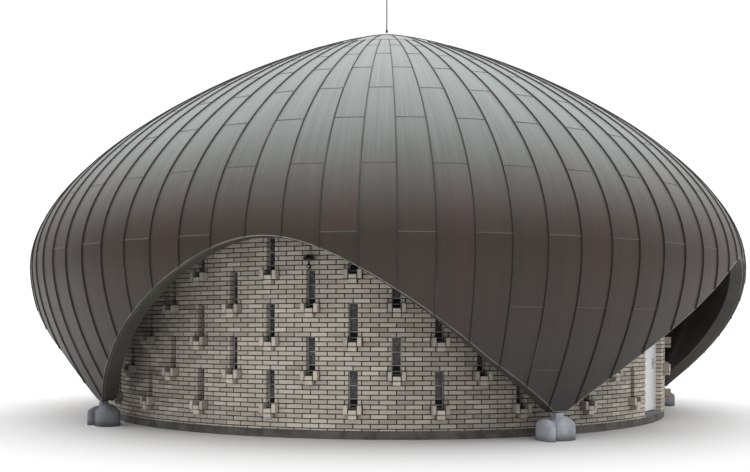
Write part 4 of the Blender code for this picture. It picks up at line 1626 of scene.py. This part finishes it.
@dataclass
class SlotWindows:
    """The narrow windows of one bay: frames, figured panes and the vent below."""

    bond: Bond
    finishes: Finishes
    wall: BrickWall
    set_back: float = 0.106
    frame_depth: float = 0.035
    frame_face: float = 0.012
    transoms: tuple[float, ...] = (0.206, 0.391, 0.476)
    bar: float = 0.012
    pane: float = 0.004
    pane_back: float = 0.016
    vent_back: float = 0.022
    slats: int = 4
    slat_back: float = 0.008
    slat_height: float = 0.006

    def build(self) -> None:
        """Frames and panes of the bay's slots."""
        number = self.wall.bay + 1
        frames = Workpiece(f"window_frames_{number}", [self.finishes.window_metal])
        panes = Workpiece(f"window_panes_{number}", [self.finishes.glass, self.finishes.vent])
        for column in self.wall.columns:
            place = stand(self.bond.radius, self.bond.phi(column * self.bond.facet))
            for start in self.bond.slot_starts(column):
                self.build_window(frames, panes, start, place)
        nodes = ["glass_1_left", "glass_1_right"] if number == 1 else [f"glass_{number}"]
        frames.finish(Body.BUILDING, "bright_metal")
        panes.finish(Body.BUILDING, "glass", nodes)

    def build_window(self, frames: Workpiece, panes: Workpiece, start: int, place: Matrix) -> None:
        """One window.

        Args:
            frames: The piece of the frames.
            panes: The piece of the panes and vents.
            start: The slot's lowest open course.
            place: The frame on the wall's face.
        """
        half = self.bond.half_slot + self.wall.reveal_gap
        inner = half - self.frame_face - 0.004
        low = self.bond.level(start) - 0.001
        high = self.bond.level(start + self.bond.slot_courses) - self.bond.joint + 0.010
        front, back = self.set_back, self.set_back + self.frame_depth

        def fill(depth: float, bottom: float, top: float, finish: int) -> None:
            """A thin sheet between the frame's sides."""
            panes.block((-inner, depth, bottom), (inner, depth + self.pane, top), place, finish=finish)

        for side in Side:
            ends = sorted((side * inner, side * half))
            frames.block((ends[0], front, low), (ends[1], back, high), place)
        bars = [high - drop for drop in self.transoms]
        for level in (high - self.bar, *[level - self.bar for level in bars], low):
            frames.block((-inner, front + 0.003, level), (inner, back - 0.003, level + self.bar), place)
        fill(front + self.pane_back, bars[1], high - self.bar, 0)
        vent_top = bars[1] - self.bar
        fill(front + self.vent_back, bars[2], vent_top, 1)
        for i in range(self.slats):
            level = blend_numbers(bars[2], vent_top, (i + 0.3) / self.slats)
            fill(front + self.slat_back, level, level + self.slat_height, 1)
        # Lowest pane: a near-black sheet, painted shade of the dark inside.
        fill(front + self.pane_back, low + self.bar, bars[2] - self.bar, 1)


# ---------------------------------------------------------------- footings, door, lamp


@dataclass(frozen=True)
class Lobe:
    """One rounded lobe of a footing, in the footing's frame."""

    middle: Span
    reach: Span
    wall: float
    crown: float
    # Extra tone: painted light on a lobe that faces the light.
    lighter: float = 0.0

    def rings(self) -> list[Span]:
        """(height, share of the width) of each ring from the ground up.

        Returns:
            The rings.
        """
        shoulder = self.wall + 0.032
        halfway = blend_numbers(shoulder, self.crown, 0.5)
        return [(self.wall * 0.6, 1.0), (self.wall, 0.98), (self.wall + 0.018, 0.94), (shoulder, 0.87),
                (halfway, 0.66), (self.crown - 0.006, 0.42), (self.crown, 0.25)]


@dataclass
class Footings:
    """The lobed concrete blocks that carry the legs."""

    finishes: Finishes
    radius: float = 5.70
    shifts: tuple[float, ...] = (0.0, 0.0, 0.0, -3.7, 0.0)
    # Tone of each footing; the front footing's high tone is painted light where more light falls.
    tones_and_painted_light: tuple[float, ...] = (0.3, 0.0, 0.2, -0.2, 1.8)
    lobes: tuple[Lobe, ...] = (
        # The left lobe's extra 0.25 is painted light on its lit side.
        Lobe((-0.196, 0.0), (0.072, 0.195), 0.212, 0.296, 0.25),
        Lobe((0.060, 0.030), (0.208, 0.178), 0.220, 0.334),
    )
    squareness: float = 2.7
    sides: int = 40
    neck: float = 0.135
    neck_foot: float = 0.18
    neck_edge: float = 0.03
    top: float = 0.3897

    def build_lobe(self, work: Workpiece, lobe: Lobe, tone: float, place: Matrix) -> None:
        """One rounded lobe with a sloping shoulder.

        Args:
            work: The piece.
            lobe: The lobe's sizes.
            tone: How light its concrete is, painted light included.
            place: The footing's frame.
        """
        power = self.squareness
        before = set(work.shape.verts)
        ring = bmesh.ops.create_circle(work.shape, cap_ends=True, segments=self.sides, radius=1.0)["verts"]
        for vertex in ring:
            angle = math.atan2(vertex.co.y, vertex.co.x)
            square = (abs(math.cos(angle)) ** power + abs(math.sin(angle)) ** power) ** (-1 / power)
            vertex.co = Vector((lobe.middle[0] + lobe.reach[0] * square * math.cos(angle),
                                lobe.middle[1] + lobe.reach[1] * square * math.sin(angle), 0.0))
        top = next(iter({face for vertex in ring for face in vertex.link_faces}))
        for height, share in lobe.rings():
            top = bmesh.ops.extrude_discrete_faces(work.shape, faces=[top])["faces"][0]
            spots = [vertex.co.copy() for vertex in top.verts]
            centre = sum(spots, Vector()) / len(spots)
            size = max(spot.x - centre.x for spot in spots)
            for vertex in top.verts:
                flat = (vertex.co - centre) * (lobe.reach[0] * share / size)
                vertex.co = Vector((centre.x + flat.x, centre.y + flat.y, height))
        made = [vertex for vertex in work.shape.verts if vertex not in before]
        rim = list({edge for vertex in made for edge in vertex.link_edges if edge.is_boundary})
        bmesh.ops.edgeloop_fill(work.shape, edges=rim)
        faces = list({face for vertex in made for face in vertex.link_faces})
        bmesh.ops.recalc_face_normals(work.shape, faces=faces)
        work.mark(faces, tone, smooth=True)
        bmesh.ops.transform(work.shape, matrix=place, verts=made)

    def build(self) -> None:
        """All five footings."""
        half = self.neck / 2
        for k, (shift, tone) in enumerate(zip(self.shifts, self.tones_and_painted_light)):
            work = Workpiece(f"footing_block_{k + 1}", [self.finishes.concrete])
            place = stand(self.radius, BAY_ANGLE * (k + 0.5) + shift)
            for lobe in self.lobes:
                self.build_lobe(work, lobe, tone + lobe.lighter, place)
            work.block((-half, -half, self.neck_foot), (half, half, self.top), place, self.neck_edge, tone)
            work.finish(Body.BUILDING, "concrete", [f"footing_{k + 1}"])


@dataclass
class Entrance:
    """Door leaf with boards, its frame, handles and hinges."""

    finishes: Finishes
    phi: float = -2.15
    distance: float = 5.0565
    hinge_x: float = -0.4465
    width: float = 0.891
    front: float = -0.0545
    back: float = -0.0095
    bottom: float = 0.175
    top: float = 2.1635
    stile: float = 0.105
    foot_rail: float = 0.36
    lock_rail: Span = (0.92, 1.04)
    head_rail: float = 0.11
    boards: int = 8
    board_joint: float = 0.001
    board_back: float = 0.008
    arris: float = 0.003
    handle: Span = (0.065, 0.98)
    neck_rings: tuple[Span, ...] = (
        (0.0, 0.047), (0.006, 0.0465), (0.009, 0.044), (0.009, 0.004), (0.013, 0.0))
    grip_rings: tuple[Span, ...] = (
        (0.0, 0.120), (0.006, 0.119), (0.0085, 0.114), (0.0085, 0.02), (0.009, -0.004), (0.0, -0.008))
    keyhole_rings: tuple[Span, ...] = ((0.0, 0.003), (0.007, 0.003), (0.0085, 0.0))
    opening: float = 0.5025
    opening_top: float = 2.2195
    casing: Span = (-0.075, -0.0095)
    casing_face: float = 0.05
    hinge_heights: Span = (0.42, 1.90)
    knuckle_rings: tuple[Span, ...] = (
        (0.0, 0.0192), (0.0085, 0.0192), (0.009, 0.0182), (0.009, 0.0012), (0.0085, 0.0002), (0.0, 0.0002))

    def build_leaf(self, place: Matrix) -> None:
        """Stiles and rails round upright boards.

        Args:
            place: The leaf's frame, on the hinge's axis.
        """
        work = Workpiece("door_boards", [self.finishes.white])
        head = self.top - self.head_rail
        for low, high in ((0.0, self.stile), (self.width - self.stile, self.width)):
            work.block((low, self.front, self.bottom), (high, self.back, self.top), place, self.arris)
        inner = self.width - self.stile
        for low, high in ((self.bottom, self.foot_rail), self.lock_rail, (head, self.top)):
            work.block((self.stile, self.front, low), (inner, self.back, high), place, self.arris)
        pitch = (self.width - 2 * self.stile) / self.boards
        front, back = self.front + self.board_back, self.back - self.board_back
        for low, high in ((self.foot_rail, self.lock_rail[0]), (self.lock_rail[1], head)):
            for i in range(self.boards):
                x = self.stile + i * pitch
                right = x + pitch - self.board_joint
                work.block((x + self.board_joint, front, low), (right, back, high), place, self.arris)
        work.finish(Body.DOOR, "white_paint", ["door_leaf"])

    def build_handles(self, place: Matrix) -> None:
        """A rounded plate and a turned lever on each side.

        Args:
            place: The leaf's frame, on the hinge's axis.
        """
        x, z = self.width - self.handle[0], self.handle[1]
        for name, face, out in (("out", self.front, -1.0), ("in", self.back, 1.0)):
            work = Workpiece(f"handle_{name}", [self.finishes.steel])
            near, far = sorted((face + out * 0.0003, face + out * 0.0083))
            work.block((x - 0.02, near, z - 0.11), (x + 0.02, far, z + 0.07), place, 0.0025)
            outwards = Matrix.Rotation(out * -math.pi / 2, 4, "X")
            neck = place @ Matrix.Translation((x, face + out * 0.006, z)) @ outwards
            work.turn(self.neck_rings, 16, neck)
            hingewards = Matrix.Rotation(-math.pi / 2, 4, "Y")
            grip = place @ Matrix.Translation((x, face + out * 0.045, z)) @ hingewards
            work.turn(self.grip_rings, 16, grip)
            keyhole = place @ Matrix.Translation((x, face + out * 0.008, z - 0.075)) @ outwards
            work.turn(self.keyhole_rings, 16, keyhole)
            work.finish(Body.DOOR, "steel", [f"door_handle_{name}"])

    def build_frame(self, place: Matrix) -> None:
        """Jambs and head with a stop behind the leaf's edge.

        Args:
            place: The doorway's frame.
        """
        work = Workpiece("door_casing", [self.finishes.white])
        side, inside, top = self.opening, self.opening - self.casing_face, self.opening_top
        low, high = self.casing
        for sign in Side:
            ends = sorted((sign * side, sign * inside))
            work.block((ends[0], low, FLOOR_TOP + 0.0003), (ends[1], high, top), place, self.arris)
        work.block((-inside, low, top - self.casing_face), (inside, high, top), place, self.arris)
        work.finish(Body.BUILDING, "white_paint", ["door_frame"])

    def build_hinges(self, place: Matrix) -> None:
        """Two butt hinges with turned knuckles.

        Args:
            place: The leaf's frame, on the hinge's axis.
        """
        for number, z in enumerate(self.hinge_heights, 1):
            work = Workpiece(f"hinge_{number}", [self.finishes.steel])
            for i in range(5):
                spot = place @ Matrix.Translation((0, 0, z - 0.05 + i * 0.02))
                work.turn(self.knuckle_rings, 14, spot, smooth=False)
            low, high = self.back + 0.0003, self.back + 0.0035
            work.block((-0.04, low, z - 0.045), (-0.002, high, z + 0.045), place, 0.0008)
            work.finish(Body.BUILDING, "steel", [f"door_hinge_{number}"])

    def build(self) -> None:
        """The whole entrance."""
        casing = stand(self.distance, self.phi)
        leaf = casing @ Matrix.Translation((self.hinge_x, 0, 0))
        self.build_frame(casing)
        self.build_leaf(leaf)
        self.build_handles(leaf)
        self.build_hinges(leaf)


@dataclass
class WallLamp:
    """The dark lamp with its round sensor, its bracket and the conduit above."""

    finishes: Finishes
    wall: float = 5.2464
    phi: float = -72.0
    standoff: float = 0.092
    ball: float = 2.385
    ball_radius: float = 0.035
    ball_steps: int = 10
    shade_rings: tuple[Span, ...] = (
        (0.0, 2.550), (0.030, 2.547), (0.056, 2.535), (0.074, 2.512), (0.081, 2.485),
        (0.082, 2.468), (0.077, 2.469), (0.060, 2.478), (0.014, 2.480), (0.014, 2.425))
    glint_rings: tuple[Span, ...] = ((0.0, 0.006), (0.007, 0.005), (0.012, 0.0))
    conduit: float = 0.0083
    conduit_rings: tuple[Span, ...] = (
        (0.0, 2.63), (0.007, 2.63), (0.008, 2.628), (0.008, 2.5425), (0.007, 2.5405), (0.0, 2.5405))

    def build(self) -> None:
        """Shade, neck, ball, a bright disc as painted glint, bracket and conduit."""
        place = stand(self.wall + self.standoff, self.phi)
        work = Workpiece("lamp_shade", [self.finishes.enamel, self.finishes.bright])
        work.turn(self.shade_rings, 32, place)
        radius = self.ball_radius
        angles = [math.radians(66 - i * 156 / self.ball_steps) for i in range(self.ball_steps)]
        dome = [(radius * math.cos(a), self.ball + radius * math.sin(a)) for a in angles]
        work.turn([(0.0139, 2.43), *dome, (0.0, self.ball - radius)], 24, place)
        # A bright disc on the ball's front: a painted glint.
        outwards = Matrix.Rotation(math.pi / 2, 4, "X")
        lens = place @ Matrix.Translation((0.0, -0.034, self.ball)) @ outwards
        work.turn(self.glint_rings, 16, lens, finish=1)
        work.block((-0.02, 0.0, 2.49), (0.02, 0.088, 2.525), place, 0.006)
        work.block((-0.03, 0.083, 2.475), (0.03, self.standoff - 0.0003, 2.540), place, 0.003)
        work.finish(Body.BUILDING, "black_enamel", ["lamp"])
        pipe = Workpiece("lamp_pipe", [self.finishes.bright])
        run = stand(self.wall + self.conduit, self.phi)
        pipe.turn(self.conduit_rings, 16, run)
        pipe.block((-0.014, -0.0085, 2.585), (0.014, 0.0079, 2.597), run, 0.001)
        pipe.finish(Body.BUILDING, "bright_metal", ["lamp_conduit"])


def dress_nodes(finishes: Finishes) -> None:
    """Gives the CAD nodes that stay their finish.

    Args:
        finishes: The building's finishes.
    """
    looks = {
        "ring_beam": finishes.plaster,
        "base_slab": finishes.dark_render,
        "floor": finishes.floor,
        "threshold": finishes.concrete,
    }
    for name, material in looks.items():
        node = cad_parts[name]
        node.data.materials.clear()
        node.data.materials.append(material)
        log.info("%s: kept from the solid", name)


# ---------------------------------------------------------------- stage, light, camera


@dataclass
class Studio:
    """Pale floor, soft light and the camera at the photograph's angle."""

    finishes: Finishes
    eye: tuple[float, float, float] = (-14.7395, -8.3391, 1.473)
    heading: float = -59.757
    roll: float = 0.145
    lens: float = 40.83
    rise: float = 0.129
    light_heading: float = -85.0
    behind: float = 0.38
    before: float = 0.80
    overhead: float = 1.75
    backdrop: float = 1.1
    side_fade: Span = (-0.9, 0.6)
    sky_fade: Span = (0.10, 0.95)
    floor_radius: float = 90.0

    def build_floor(self) -> None:
        """A wide pale floor at ground level."""
        shape = bmesh.new()
        bmesh.ops.create_circle(shape, cap_ends=True, segments=96, radius=self.floor_radius)
        mesh = bpy.data.meshes.new("stage_floor")
        shape.to_mesh(mesh)
        shape.free()
        mesh.materials.append(self.finishes.stage)
        ground = bpy.data.objects.new("stage_floor", mesh)
        bpy.context.scene.collection.objects.link(ground)

    def build_light(self) -> None:
        """A soft white surround, brightest overhead and dimmest low down, before a white backdrop."""
        world = bpy.data.worlds.new("soft_surround")
        bpy.context.scene.world = world
        world.use_nodes = True
        tree = Tree(world.node_tree)
        background = tree.nodes["Background"]
        background.inputs["Color"].default_value = (1.0, 1.0, 1.0, 1.0)
        direction = tree.add("ShaderNodeTexCoord", {}, {}, "Generated")
        heading = math.radians(self.light_heading)
        across = tree.part(direction, "X") * -math.sin(heading)
        ahead = across + tree.part(direction, "Y") * math.cos(heading)
        up = tree.part(direction, "Z")
        level = self.behind + ahead.ramp(*self.side_fade) * (self.before - self.behind)
        level = level + up.ramp(*self.sky_fade) * self.overhead
        seen = tree.add("ShaderNodeLightPath", {}, {}, "Is Camera Ray")
        tree.feed(background.inputs["Strength"], level * (1.0 - seen) + seen * self.backdrop)
        tree.links.new(background.outputs[0], tree.nodes["World Output"].inputs[0])

    def build_camera(self) -> None:
        """The camera at the photograph's place."""
        data = bpy.data.cameras.new("camera")
        data.lens = self.lens
        data.sensor_width = 36.0
        data.shift_y = self.rise
        data.clip_end = 500.0
        camera = bpy.data.objects.new("camera", data)
        turn = Matrix.Rotation(math.radians(self.heading), 4, "Z")
        tilt = Matrix.Rotation(math.radians(90), 4, "X") @ Matrix.Rotation(math.radians(self.roll), 4, "Z")
        camera.matrix_world = Matrix.Translation(self.eye) @ turn @ tilt
        bpy.context.scene.collection.objects.link(camera)
        bpy.context.scene.camera = camera

    def build(self) -> None:
        """The whole stage."""
        self.build_floor()
        self.build_light()
        self.build_camera()
        bpy.context.scene.view_settings.view_transform = "Standard"


def main() -> None:
    """Builds the whole scene."""
    finishes = Finishes()
    Studio(finishes).build()
    Roof(DomeShape(), finishes).build()
    bond = Bond()
    for bay in range(BAYS):
        wall = BrickWall(bond, finishes, bay)
        wall.build()
        SlotWindows(bond, finishes, wall).build()
    Footings(finishes).build()
    Entrance(finishes).build()
    WallLamp(finishes).build()
    dress_nodes(finishes)


if __name__ == "__main__":
    main()
